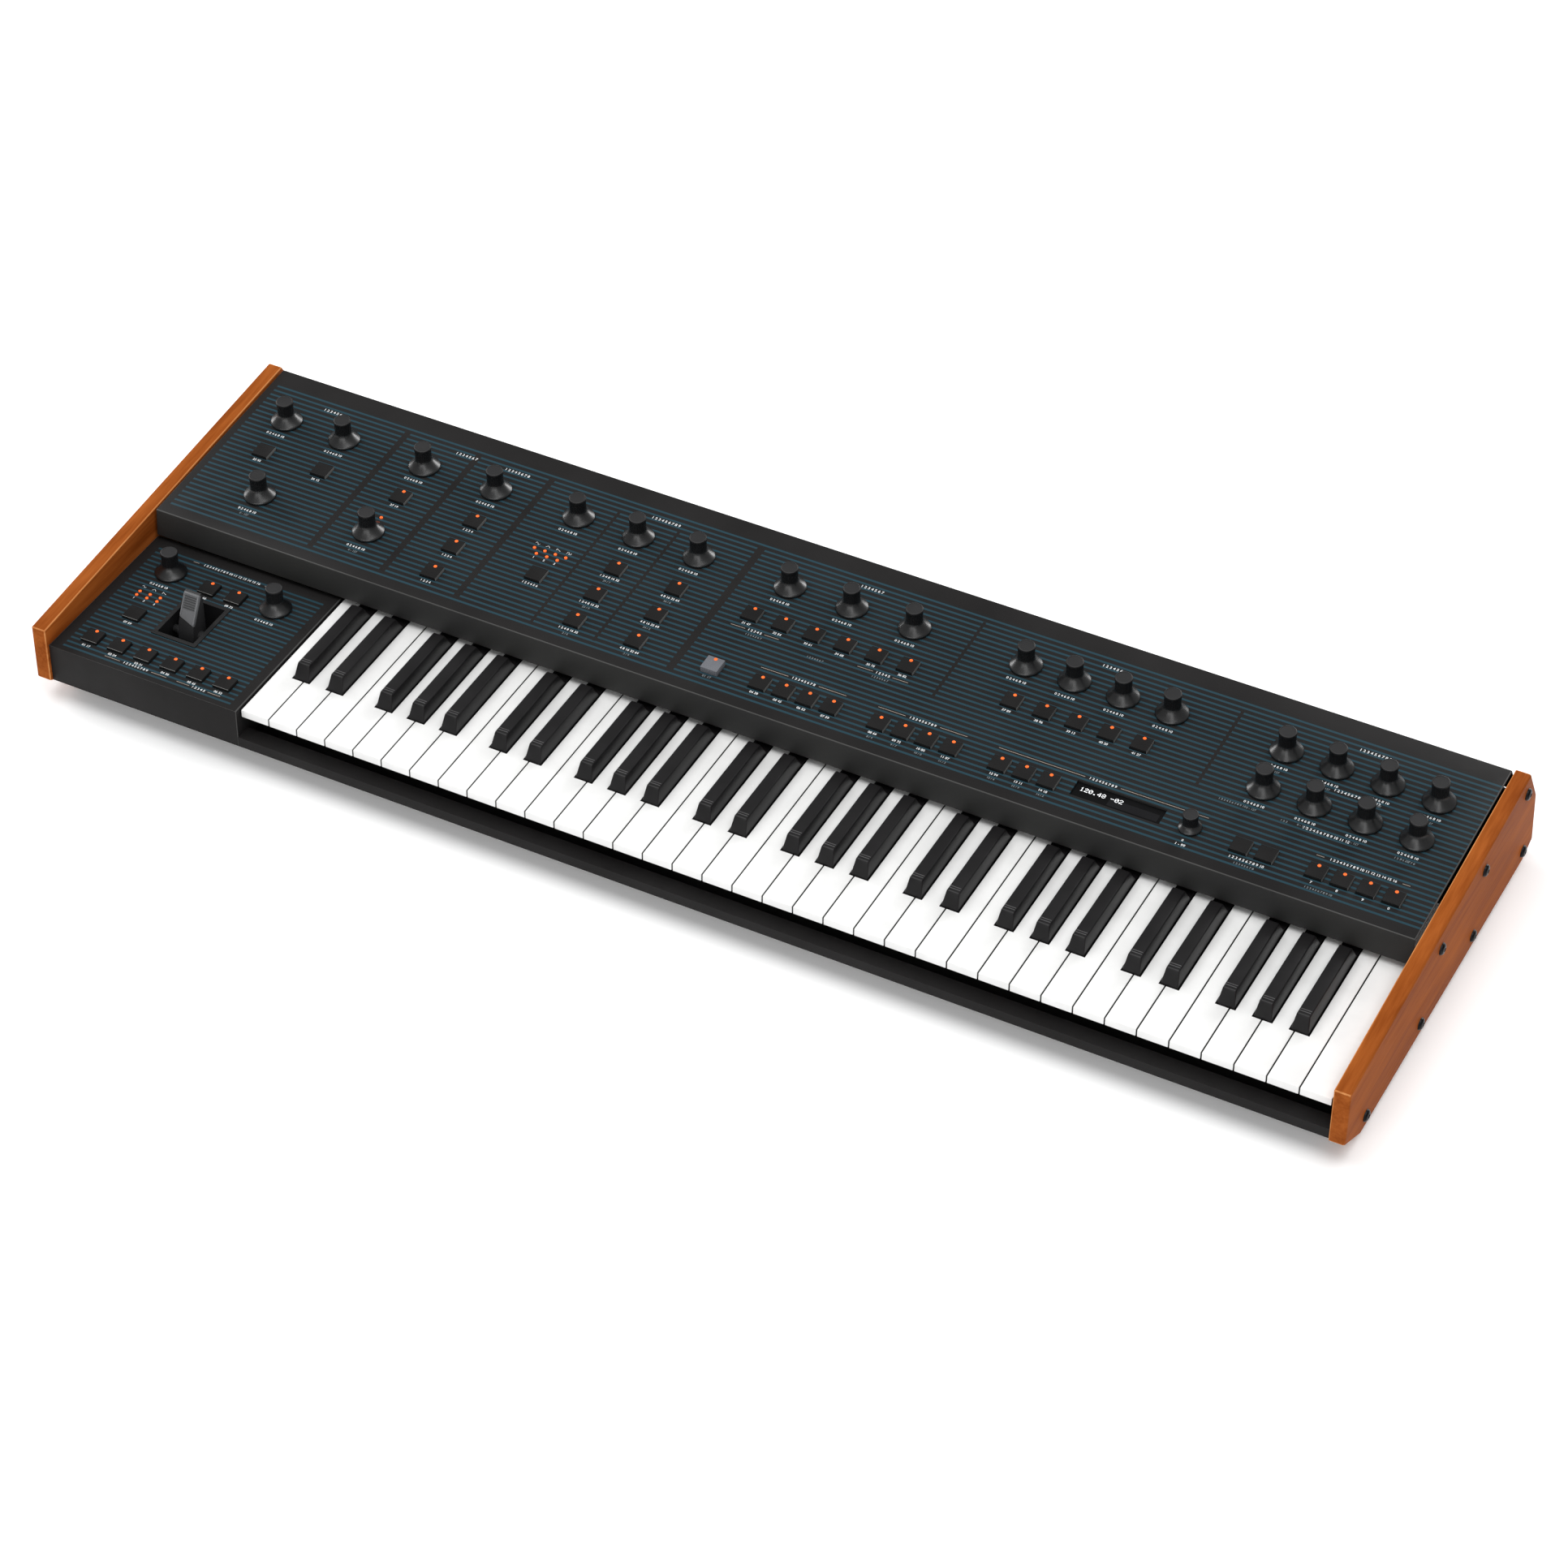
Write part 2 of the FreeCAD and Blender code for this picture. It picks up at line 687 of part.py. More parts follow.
# ---------------------------------------------------------------- keyboard
BLACKS = {
    "c_sharp": 1 - D.black_shift_two,
    "d_sharp": 2 + D.black_shift_two,
    "f_sharp": 4 - D.black_shift_three,
    "g_sharp": 5.0,
    "a_sharp": 6 + D.black_shift_three,
}
WHITES = "cdefgab"
KEY_TAIL = D.pivot_back + 5.0
FIN_ROOM = 1.7


def white_outline(letter, full_right=False):
    """Plan of a white key from its left boundary, cut back beside the black keys."""
    index = WHITES.index(letter)
    left, right = D.key_gap / 2, D.key_pitch - D.key_gap / 2
    room = D.black_width / 2 + D.key_gap
    notch = D.black_setback - D.key_gap
    neck_left, neck_right = left, right
    for centre in BLACKS.values():
        offset = (centre - index) * D.key_pitch
        if -room < offset < D.key_pitch / 2:
            neck_left = offset + room
        elif D.key_pitch / 2 < offset < D.key_pitch + room and not full_right:
            neck_right = offset - room
    points = [(left, 0), (right, 0)]
    if neck_right < right:
        points += [(right, notch), (neck_right, notch)]
    points.append((neck_right, KEY_TAIL))
    if letter == "c":
        shelf = D.pivot_back - 12.0
        points += [(left + FIN_ROOM, KEY_TAIL), (left + FIN_ROOM, shelf), (left, shelf)]
    else:
        points.append((neck_left, KEY_TAIL))
        if neck_left > left:
            points += [(neck_left, notch), (left, notch)]
    return points


def with_saddle(name, solid):
    """A key with the saddle that sits over the pivot rod and turns on it."""
    half = D.rod_diameter / 2 + D.running_fit
    depth = D.key_thick / 2 + half
    saddle = box(
        f"{name}_saddle", (60, 2 * half, depth + 1),
        Placement(Vector(-20, D.pivot_back - half, -D.key_thick - 1), Rotation()),
        Width="Dimensions.rod_diameter + 2 * Dimensions.running_fit",
    )
    return cut(name, solid, [saddle])


def key_place(pitches):
    """A key's own frame: its left boundary, its front and its top."""
    return Placement(
        Vector(KEYS_LEFT + pitches * D.key_pitch, KEYS_FRONT, D.key_top), Rotation()
    )


def white_master(letter, full_right=False):
    name = f"white_{letter}" + ("_top" if full_right else "")
    outline = white_outline(letter, full_right)
    slab = padded(f"{name}_slab", "XY", outline, "Dimensions.key_thick", reverse=True)
    return with_saddle(name, slab)


def white_keys(letter):
    """All the white keys of one letter, one solid each."""
    index = WHITES.index(letter)
    places = [key_place(OCTAVE * octave + index) for octave in range(OCTAVES)]
    shapes = copies(white_master(letter), places)
    if letter == "c":
        shapes += copies(white_master(letter, True), [key_place(OCTAVE * OCTAVES)])
    return group(f"keys_white_{letter}", shapes)


def oblong(width, near, far):
    """Corners of a rectangle centred across, from near to far."""
    return [(-width / 2, near), (width / 2, near), (width / 2, far), (-width / 2, far)]


def black_master():
    """A black key: a tapered raised block on a long tail."""
    front, rear = D.black_setback, D.fascia_back - 2.0
    body = doc.addObject("PartDesign::Body", "black_block")
    foot = sketch_on(body, "black_foot", "XY", oblong(D.black_width, front, rear))
    crown_outline = oblong(D.black_top_width, front + D.black_front_run, rear - D.black_rear_run)
    crown = sketch_on(body, "black_crown", "XY", crown_outline)
    crown.setExpression("AttachmentOffset.Base.z", "Dimensions.black_rise")
    loft = body.newObject("PartDesign::AdditiveLoft", "black_loft")
    loft.Profile = foot
    loft.Sections = [crown]
    loft.Ruled = True
    tail = box(
        "black_tail", (D.black_width, KEY_TAIL - front, D.key_thick),
        Placement(Vector(-D.black_width / 2, front, -D.key_thick), Rotation()),
        Length="Dimensions.black_width", Height="Dimensions.key_thick",
    )
    return with_saddle("black_key", joined("black_solid", [body, tail]))


def black_keys(name, notes, master):
    """The black keys of some notes, one solid each."""
    places = [
        key_place(OCTAVE * octave + BLACKS[note]) for octave in range(OCTAVES) for note in notes
    ]
    return group(name, copies(master, places))


def fin_centres():
    """X of each fin that carries the pivot rod: beside each C, and at the right end."""
    shift = FIN_ROOM / 2
    beside_c = [
        KEYS_LEFT + OCTAVE * octave * D.key_pitch + shift for octave in range(OCTAVES + 1)
    ]
    return beside_c + [KEYS_RIGHT + D.key_gap / 2 + D.fin_thick / 2]


def dip_at(distance):
    """How far a key's underside goes down this far behind its front."""
    return D.key_dip * (D.pivot_back - distance) / D.pivot_back


FELT_TOP = over(-D.key_thick) - dip_at(D.felt_setback) - D.felt_gap


def along_pivot(overhang=0.0):
    """Where a bar along the key pivot starts, and its length, from the first fin to the last."""
    fins = fin_centres()
    left = fins[0] - D.fin_thick / 2 - overhang
    length = fins[-1] + D.fin_thick / 2 + overhang - left
    corner = Vector(left, back(D.pivot_back), over(-D.key_thick / 2))
    return Placement(corner, Rotation(Vector(0, 1, 0), 90)), length


def pivot_rod():
    """The round steel rod that the keys turn on."""
    place, length = along_pivot()
    return cylinder("key_pivot_rod", 1, length, place, Radius="Dimensions.rod_diameter / 2")


def keybed_frame():
    """A folded channel on the pan, with a felt shelf in front and fins behind for the rod."""
    shelf = FELT_TOP - D.felt_thick
    front, rear = back(D.felt_setback - 2.0), back(KEY_TAIL + 3.0)
    path = [
        (back(D.felt_setback + D.felt_width + 2.0), shelf),
        (front, shelf),
        (front, PAN_FLOOR),
        (rear, PAN_FLOOR),
        (rear, over(-1.0)),
    ]
    fins = fin_centres()
    left = fins[0] - D.fin_thick / 2
    channel = padded(
        "keybed_channel", "YZ", folded(path, D.sheet_thick),
        f"{fins[-1] + D.fin_thick / 2 - left} mm", Placement(Vector(left, 0, 0), Rotation()),
    )
    plates = [
        box(
            f"fin_{i}", (D.fin_thick, D.fin_length, D.fin_height),
            Placement(
                Vector(x - D.fin_thick / 2, rear - D.fin_length + 0.5, over(-1.0 - D.fin_height)),
                Rotation(),
            ),
            Length="Dimensions.fin_thick",
        )
        for i, x in enumerate(fins)
    ]
    solid = joined("keybed_solid", [channel] + plates)
    place, length = along_pivot(overhang=2.0)
    bore = clear_of("Dimensions.rod_diameter / 2 + Dimensions.running_fit")
    return cut("keybed_frame", solid, [prism("fin_bore", bore, length, place)])


def key_felt():
    """The down-stop felt along the shelf."""
    corner = Vector(KEYS_LEFT, back(D.felt_setback), FELT_TOP - D.felt_thick)
    return box(
        "key_felt", (1, D.felt_width, D.felt_thick), Placement(corner, Rotation()),
        Length="Dimensions.key_pitch * Dimensions.white_keys", Height="Dimensions.felt_thick",
        Width="Dimensions.felt_width",
    )


# ---------------------------------------------------------------- knobs and caps
def with_stem(name, grip):
    """A knob with the stem under it that turns in the potentiometer."""
    place = Placement(Vector(0, 0, D.knob_lift + 0.5 - D.stem_length), Rotation())
    stem = prism(f"{name}_stem", "Dimensions.stem_diameter / 2", 1, place)
    stem.setExpression("Height", "Dimensions.stem_length")
    return joined(name, [grip, stem])


def skirted_knob(name, skirt, neck, collar, flare, height):
    """A grip with a chamfered top that stands on a wide conical skirt with a thin rim."""
    sections = [
        (skirt / 2, D.knob_lift),
        (skirt / 2, D.knob_lift + D.skirt_rim),
        (neck / 2, flare),
        (collar / 2, height - D.knob_chamfer),
        (collar / 2 - D.knob_chamfer, height),
    ]
    return with_stem(name, faceted(f"{name}_grip", sections))


def pots():
    """A potentiometer under each knob: a square body with a bore for the stem."""
    half = D.pot_width / 2
    corner = Vector(-half, -half, -D.sheet_thick - D.pot_height)
    body = box(
        "pot_body", (1, 1, 1), Placement(corner, Rotation()),
        Length="Dimensions.pot_width", Width="Dimensions.pot_width",
        Height="Dimensions.pot_height",
    )
    bore = clear_of("Dimensions.stem_diameter / 2 + Dimensions.running_fit")
    hole = prism("pot_hole", bore, 30, Placement(Vector(0, 0, -20), Rotation()))
    pot = cut("pot_master", body, [hole])
    places = [at(UPPER, x, y) for x, y in UPPER_KNOBS + [ENCODER]]
    places += [at(LOWER, x, y) for x, y in LOWER_KNOBS.values()]
    return group("panel_pots", copies(pot, places))


def cap_master(name, proud):
    """A square push cap with a retaining flange under the panel."""
    half = D.cap_width / 2
    flange = half + D.cap_flange
    under = -D.sheet_thick - D.cap_clearance
    stem = box(
        f"{name}_stem", (1, 1, proud - under), Placement(Vector(-half, -half, under), Rotation()),
        Length="Dimensions.cap_width", Width="Dimensions.cap_width",
    )
    lip = box(
        f"{name}_lip", (2 * flange, 2 * flange, D.cap_flange),
        Placement(Vector(-flange, -flange, under - D.cap_flange), Rotation()),
    )
    return joined(f"{name}_solid", [stem, lip])


def caps(name, master, frame, spots):
    return group(name, copies(master, [at(frame, x, y) for x, y in spots]))


def panel_lights():
    """The fixed lamps of the two wave-shape groups and the rate lamp."""
    foot = Placement(Vector(0, 0, D.lamp_proud - D.lamp_length), Rotation())
    lamp = prism("lamp_master", "Dimensions.lamp_diameter / 2", D.lamp_length, foot)
    places = [at(UPPER, x, y) for x, y in UPPER_LIGHTS]
    places += [at(LOWER, x, y) for x, y in LOWER_LIGHTS]
    return group("panel_lights", copies(lamp, places))


def display_window():
    """The display's window, behind its opening."""
    width = D.display_width + 2 * D.display_border
    height = D.display_height + 2 * D.display_border
    depth = -D.sheet_thick - D.display_thick
    place = at(UPPER, DISPLAY[0] - width / 2, DISPLAY[1] - height / 2, depth)
    return box("display_window", (width, height, D.display_thick), place)


# ---------------------------------------------------------------- lever
def lever_frame():
    """The lever's pivot: across the pocket, below the performance panel's face."""
    return at(LOWER, POCKET[0], POCKET[1], -D.lever_drop)


def lever_pocket():
    """Moulded liner with a rim on the panel and a bearing hole in each side wall."""
    inner = (D.pocket_width, D.pocket_length)
    outer = [side + 2 * D.pocket_wall for side in inner]
    face = [side + 2 * D.pocket_rim for side in inner]
    frame = at(LOWER, POCKET[0], POCKET[1])

    def centred(name, size, low, high):
        place = frame.multiply(Placement(Vector(-size[0] / 2, -size[1] / 2, low), Rotation()))
        return box(name, (size[0], size[1], high - low), place)

    tub = centred("pocket_tub", outer, -D.pocket_depth, D.pocket_lip)
    bezel = centred("pocket_bezel", face, 0.0, D.pocket_lip)
    hollow = centred("pocket_hollow", inner, -D.pocket_depth + D.pocket_wall, 5)
    bore = cylinder(
        "pocket_bore", D.trunnion_diameter / 2 + D.running_fit, outer[0] + 4,
        lever_frame().multiply(
            Placement(Vector(-outer[0] / 2 - 2, 0, 0), Rotation(Vector(0, 1, 0), 90))
        ),
    )
    return cut("lever_pocket", joined("pocket_solid", [tub, bezel]), [hollow, bore])


def lever():
    """Paddle blade on a round hub, with a trunnion at each side."""
    rise = D.lever_rise + D.lever_drop
    blade = padded(
        "lever_blade", "YZ",
        [
            (-8.5, 2), (-9.5, 14), (-7.5, 24), (-4.0, rise - 1),
            (0.5, rise), (3.5, rise - 2), (8.5, 2),
        ],
        "Dimensions.lever_width", midplane=True,
    )
    hub = cylinder(
        "lever_hub", 1, D.lever_width,
        Placement(Vector(-D.lever_width / 2, 0, 0), Rotation(Vector(0, 1, 0), 90)),
        Radius="Dimensions.lever_hub / 2", Height="Dimensions.lever_width",
    )
    span = D.pocket_width + 2 * D.pocket_wall - D.pocket_play
    pins = cylinder(
        "lever_pins", 1, span,
        Placement(Vector(-span / 2, 0, 0), Rotation(Vector(0, 1, 0), 90)),
        Radius="Dimensions.trunnion_diameter / 2",
    )
    solid = joined("lever", [blade, hub, pins])
    solid.Placement = lever_frame()
    return solid


# ---------------------------------------------------------------- assembly
def single(master, name, place):
    """One copy of a master as a node of its own."""
    doc.recompute()
    node = doc.addObject("Part::Feature", name)
    node.Shape = master.Shape
    node.Placement = place
    node.Label = name
    return node


def build():
    nodes = [case_pan(), top_panel(), performance_panel(), rear_panel()]
    nodes += [cheek("cheek_left", -1), cheek("cheek_right", 1)]
    nodes += [rubber_feet(), jack_sockets(), din_sockets(), usb_socket()]
    nodes += [mains_inlet(), power_rocker()]
    nodes += [keybed_frame(), pivot_rod(), key_felt()]
    nodes += [white_keys(letter) for letter in WHITES]
    black = black_master()
    nodes += [
        black_keys("keys_black_twos", ["c_sharp", "d_sharp"], black),
        black_keys("keys_black_threes", ["f_sharp", "g_sharp", "a_sharp"], black),
    ]
    nodes += [pots(), panel_lights(), display_window(), lever_pocket(), lever()]
    cap = cap_master("cap", D.cap_proud)
    tall_cap = cap_master("tall_cap", D.latch_proud)
    nodes += [
        caps("caps_upper", cap, UPPER, UPPER_CAPS),
        caps("cap_hold", tall_cap, UPPER, LATCH_CAP),
        caps("caps_lower", cap, LOWER, LOWER_CAPS),
    ]
    knob = skirted_knob(
        "knob_master", D.skirt_diameter, D.knob_neck, D.knob_collar, D.skirt_height, D.knob_height
    )
    small_knob = skirted_knob(
        "encoder_master", D.encoder_skirt, D.encoder_neck, D.encoder_collar,
        D.encoder_skirt_height, D.encoder_height,
    )
    for name, (x, y) in zip(KNOB_NAMES, UPPER_KNOBS):
        nodes.append(single(knob, name, at(UPPER, x, y)))
    for name, (x, y) in LOWER_KNOBS.items():
        nodes.append(single(knob, name, at(LOWER, x, y)))
    nodes.append(single(small_knob, "encoder_select", at(UPPER, *ENCODER)))
    return nodes


def export(nodes):
    """Checks every object, then writes one STEP file a node."""
    doc.recompute()
    for item in doc.Objects:
        if {"Invalid", "Error"} & set(item.State):
            raise SystemExit(f"{item.Name} did not build: {item.State}")
    os.makedirs("parts", exist_ok=True)
    for node in nodes:
        shape = node.Shape
        if shape.isNull() or not shape.isValid() or not shape.Solids:
            raise SystemExit(f"{node.Label} has no valid solid")
        shape.exportStep(f"parts/{node.Label}.step")
        print(f"{node.Label}: {len(shape.Solids)} solids, {shape.Volume / 1000:.1f} cm3")


export(build())
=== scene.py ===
# %% [markdown]
# # A 61-key synthesizer in a folded steel case with wood cheeks
# The solid model comes in first and stays where it is: it is the frame that everything else is
# measured from. What this script adds is the look: rounded keys, turned knobs, printed lines,
# lamps, screws, paint, wood and plastic. All places come from the frame, in metres.

# %% Load the frame
import json
import math

import bpy
from mathutils import Matrix, Vector


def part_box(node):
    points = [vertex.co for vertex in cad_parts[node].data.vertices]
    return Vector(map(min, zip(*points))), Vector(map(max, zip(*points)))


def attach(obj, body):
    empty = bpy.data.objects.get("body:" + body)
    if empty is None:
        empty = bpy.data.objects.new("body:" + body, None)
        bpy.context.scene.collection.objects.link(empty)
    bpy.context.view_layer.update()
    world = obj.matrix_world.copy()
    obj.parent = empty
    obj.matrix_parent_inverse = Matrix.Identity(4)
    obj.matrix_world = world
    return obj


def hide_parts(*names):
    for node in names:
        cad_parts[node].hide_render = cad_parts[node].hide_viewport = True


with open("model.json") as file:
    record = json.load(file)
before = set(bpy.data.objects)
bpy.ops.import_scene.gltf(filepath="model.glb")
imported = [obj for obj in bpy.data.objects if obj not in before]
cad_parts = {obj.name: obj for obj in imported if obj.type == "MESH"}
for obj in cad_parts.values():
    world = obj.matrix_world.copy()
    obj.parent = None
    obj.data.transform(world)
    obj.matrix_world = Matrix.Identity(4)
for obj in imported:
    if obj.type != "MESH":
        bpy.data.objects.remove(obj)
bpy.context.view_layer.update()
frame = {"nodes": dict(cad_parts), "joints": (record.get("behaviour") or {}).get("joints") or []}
MM = 0.001

# %% [markdown]
# ## Places on the two panels
# The controls sit on a sloped panel behind the keys and on a flat one beside them. Each panel gets
# a matrix of its own: X is the column, Y the row away from the player, and Z stands out of the
# paint. A place on a panel is then three small numbers, and the slope never has to be thought
# about again. The slope itself is read from the axis that the volume knob turns on.

# %% Read the keys, the slope and the two panels
joints = {joint["name"]: joint for joint in frame["joints"]}
key_low, key_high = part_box("keys_white_c")
HALF_KEY_GAP = 0.5 * MM
KEY_LEFT, KEY_FRONT, KEY_TOP = key_low.x - HALF_KEY_GAP, key_low.y, key_high.z
FASCIA_LEAN = 2 * MM  # the wall under the slope reaches this far past the fold

normal = Vector(joints["knob_volume_turn"]["axis"])
through = Vector(joints["knob_volume_turn"]["pos_m"])
slope = math.atan2(-normal.y, normal.z)
fold_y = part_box("top_panel")[0].y + FASCIA_LEAN
fold_z = through.z + (fold_y - through.y) * math.tan(slope)
UPPER = Matrix.Translation((KEY_LEFT, fold_y, fold_z)) @ Matrix.Rotation(slope, 4, "X")
LOWER = Matrix.Translation((KEY_LEFT, KEY_FRONT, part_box("performance_panel")[1].z))
print("slope", round(math.degrees(slope), 2), "degrees; fold at", round(fold_z, 4))

# %% [markdown]
# ## Small helpers
# Operators act on whatever is selected, so every step starts by deselecting all. The helpers below
# are the moves that come back again and again: copy a part of the frame, turn a round form from
# its profile, and set a finished piece on its body.

# %% Start clean, finish a piece
def fresh():
    """Object mode with nothing selected."""
    if bpy.context.object and bpy.context.object.mode != "OBJECT":
        bpy.ops.object.mode_set(mode="OBJECT")
    bpy.ops.object.select_all(action="DESELECT")


def pick(*pieces):
    """These pieces selected, the first one active."""
    fresh()
    for piece in pieces:
        piece.select_set(True)
    bpy.context.view_layer.objects.active = pieces[0]


def settle(piece, matrix=None):
    """Puts a piece at a place and moves that place into its mesh."""
    bpy.context.view_layer.update()
    piece.matrix_world = (matrix or Matrix()) @ piece.matrix_world
    pick(piece)
    bpy.ops.object.transform_apply(location=True, rotation=True, scale=True)
    return piece


def joined(name, pieces):
    """Many pieces as one, under one name."""
    pick(*pieces)
    if len(pieces) > 1:
        bpy.ops.object.join()
    piece = bpy.context.object
    piece.name = piece.data.name = name
    return piece


def own(piece, body, slot, *materials, stands_for=()):
    """Gives a finished piece its body, its materials and the nodes it stands for; the slot is not
    used.
    """
    if materials:
        piece.data.materials.clear()
        for material in materials:
            piece.data.materials.append(material)
    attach(piece, body)
    if stands_for:
        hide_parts(*stands_for)
    return piece


def modified(piece, kind, **settings):
    """Adds a modifier, sets it and applies it."""
    pick(piece)
    modifier = piece.modifiers.new(kind.lower(), kind)
    for key, value in settings.items():
        setattr(modifier, key, value)
    bpy.ops.object.modifier_apply(modifier=modifier.name)
    return piece


def smooth(piece, angle=35):
    """Soft shading across gentle edges, crisp across sharp ones."""
    pick(piece)
    bpy.ops.object.shade_smooth_by_angle(angle=math.radians(angle))
    return piece


# %% Copy a part of the frame
def frame_copy(node, name):
    """A node's mesh as a new piece, its loose triangles merged and its flat faces made whole."""
    piece = bpy.data.objects.new(name, frame["nodes"][node].data.copy())
    bpy.context.scene.collection.objects.link(piece)
    pick(piece)
    bpy.ops.object.mode_set(mode="EDIT")
    bpy.ops.mesh.select_all(action="SELECT")
    bpy.ops.mesh.customdata_custom_splitnormals_clear()
    bpy.ops.mesh.remove_doubles(threshold=0.005 * MM)
    bpy.ops.mesh.dissolve_limited(angle_limit=math.radians(0.5))
    bpy.ops.object.mode_set(mode="OBJECT")
    return piece


def solids_of(node, matrix):
    """Lowest and highest corner of each separate solid of a node, in a panel's own frame."""
    piece = frame_copy(node, "counted")
    pick(piece)
    bpy.ops.object.mode_set(mode="EDIT")
    bpy.ops.mesh.select_all(action="SELECT")
    bpy.ops.mesh.separate(type="LOOSE")
    bpy.ops.object.mode_set(mode="OBJECT")
    inverse, boxes = matrix.inverted(), []
    for part in list(bpy.context.selected_objects):
        places = [inverse @ vertex.co for vertex in part.data.vertices]
        low = Vector([min(p[i] for p in places) for i in range(3)])
        high = Vector([max(p[i] for p in places) for i in range(3)])
        boxes.append((low, high))
        bpy.data.objects.remove(part)
    return sorted(boxes, key=lambda box: (round(box[0].y, 4), box[0].x))


# %% Turn a round form
def turned(name, profile, sides=48):
    """A disc, extruded and resized once for each step of a profile of radius and height in mm."""
    fresh()
    radius, height = profile[0]
    bpy.ops.mesh.primitive_circle_add(
        vertices=sides, radius=radius * MM, fill_type="NGON", location=(0, 0, height * MM)
    )
    piece = bpy.context.object
    settle(piece)
    bpy.ops.object.mode_set(mode="EDIT")
    bpy.ops.mesh.select_all(action="SELECT")
    for new_radius, new_height in profile[1:]:
        rise = (0, 0, (new_height - height) * MM)
        bpy.ops.mesh.extrude_region_move(TRANSFORM_OT_translate={"value": rise})
        scale = new_radius / radius
        bpy.ops.transform.resize(value=(scale, scale, 1), center_override=(0, 0, 0))
        radius, height = new_radius, new_height
    bpy.ops.mesh.select_all(action="SELECT")
    bpy.ops.mesh.normals_make_consistent(inside=False)
    bpy.ops.object.mode_set(mode="OBJECT")
    piece.name = piece.data.name = name
    return piece


def block(name, size, centre, bevel=0.0, segments=2):
    """A box of a size at a centre, in mm, its edges rounded."""
    fresh()
    bpy.ops.mesh.primitive_cube_add(size=1, location=[v * MM for v in centre])
    piece = bpy.context.object
    piece.scale = [v * MM for v in size]
    settle(piece)
    if bevel:
        modified(piece, "BEVEL", width=bevel * MM, segments=segments, limit_method="ANGLE")
    piece.name = piece.data.name = name
    return piece


def copies(master, places):
    """The master set at each place, each copy with its own mesh. The master is used up."""
    made = []
    for matrix in places:
        piece = bpy.data.objects.new(master.name, master.data.copy())
        bpy.context.scene.collection.objects.link(piece)
        piece.data.transform(matrix)
        made.append(piece)
    bpy.data.objects.remove(master)
    return made


def spot(panel, column, row, height=0.0, turn=0.0):
    """A place on a panel, in mm, turned about the panel's normal."""
    move = Matrix.Translation((column * MM, row * MM, height * MM))
    return panel @ move @ Matrix.Rotation(math.radians(turn), 4, "Z")


print("helpers ready")

# %% [markdown]
# ## Materials
# Every finish here is painted by nodes that read the object's own coordinates, so it stays put
# when a part moves. One helper adds a node and wires its inputs, and each finish is then a short
# recipe: a colour that drifts a little, a roughness that is never quite even, and a fine bump at
# the scale of the real surface.

# %% Material helpers
def tone(code):
    """A screen colour such as 2b2b2b as the linear colour that the shader wants."""
    parts = [int(code[i:i + 2], 16) / 255 for i in (0, 2, 4)]
    return [p / 12.92 if p <= 0.04045 else ((p + 0.055) / 1.055) ** 2.4 for p in parts] + [1.0]


def add(material, kind, inputs=(), **settings):
    """One shader node; inputs maps a socket to a value or to another node's output."""
    node = material.node_tree.nodes.new("ShaderNode" + kind)
    for key, value in settings.items():
        setattr(node, key, value)
    for key, value in dict(inputs).items():
        if isinstance(value, bpy.types.NodeSocket):
            material.node_tree.links.new(value, node.inputs[key])
        else:
            node.inputs[key].default_value = value
    return node


def blank(name, **constants):
    """A new material, its shader, and the object's coordinates."""
    material = bpy.data.materials.new(name)
    material.use_nodes = True
    shader = material.node_tree.nodes["Principled BSDF"]
    for key, value in constants.items():
        shader.inputs[key.replace("_", " ")].default_value = value
    return material, shader, add(material, "TexCoord").outputs["Object"]


def noise(material, coordinates, scale, detail=4.0, stretch=(1, 1, 1)):
    """Cloudy noise at so many blotches a metre, stretched if asked."""
    mapped = add(material, "Mapping", {"Vector": coordinates, "Scale": stretch})
    inputs = {"Vector": mapped.outputs[0], "Scale": scale, "Detail": detail}
    return add(material, "TexNoise", inputs).outputs["Fac"]


def ramp(material, factor, first, last, low=0.3, high=0.7):
    """Two colours blended over part of a factor's range."""
    made = add(material, "ValToRGB", {"Fac": factor})
    made.color_ramp.elements[0].position, made.color_ramp.elements[0].color = low, first
    made.color_ramp.elements[1].position, made.color_ramp.elements[1].color = high, last
    return made.outputs["Color"]


def spread(material, factor, low, high):
    """A factor from 0 to 1 moved to another range."""
    return add(material, "MapRange", {"Value": factor, "To Min": low, "To Max": high}).outputs[0]


def wire(material, output, shader, socket):
    material.node_tree.links.new(output, shader.inputs[socket])


def bump(material, shader, height, strength, distance):
    inputs = {"Height": height, "Strength": strength, "Distance": distance * MM}
    wire(material, add(material, "Bump", inputs).outputs["Normal"], shader, "Normal")


def plastic(name, dark, light, rough, grain=2500, strength=0.25, specular=0.5):
    """Moulded plastic: a colour that drifts, uneven gloss and a fine moulded grain."""
    material, shader, where = blank(name, Specular_IOR_Level=specular)
    drift = noise(material, where, 35, 5)
    wire(material, ramp(material, drift, tone(dark), tone(light)), shader, "Base Color")
    handling = noise(material, where, 90, 6)
    wire(material, spread(material, handling, *rough), shader, "Roughness")
    bump(material, shader, noise(material, where, grain, 2), strength, 0.03)
    return material


print("material helpers ready")

# %% [markdown]
# ### Painted steel with printed lines
# The case is folded steel in charcoal powder paint, which has a very fine orange-peel. The control
# faces carry thin teal lines, evenly spaced, that stop at bare strips between the sections. They
# could be cut as hundreds of thin strips of mesh, but a print has no thickness, so the lines are
# worked out in the shader: the row is divided by the pitch, and what is left over says whether a
# point lies on a line. Each bare strip is one more comparison.

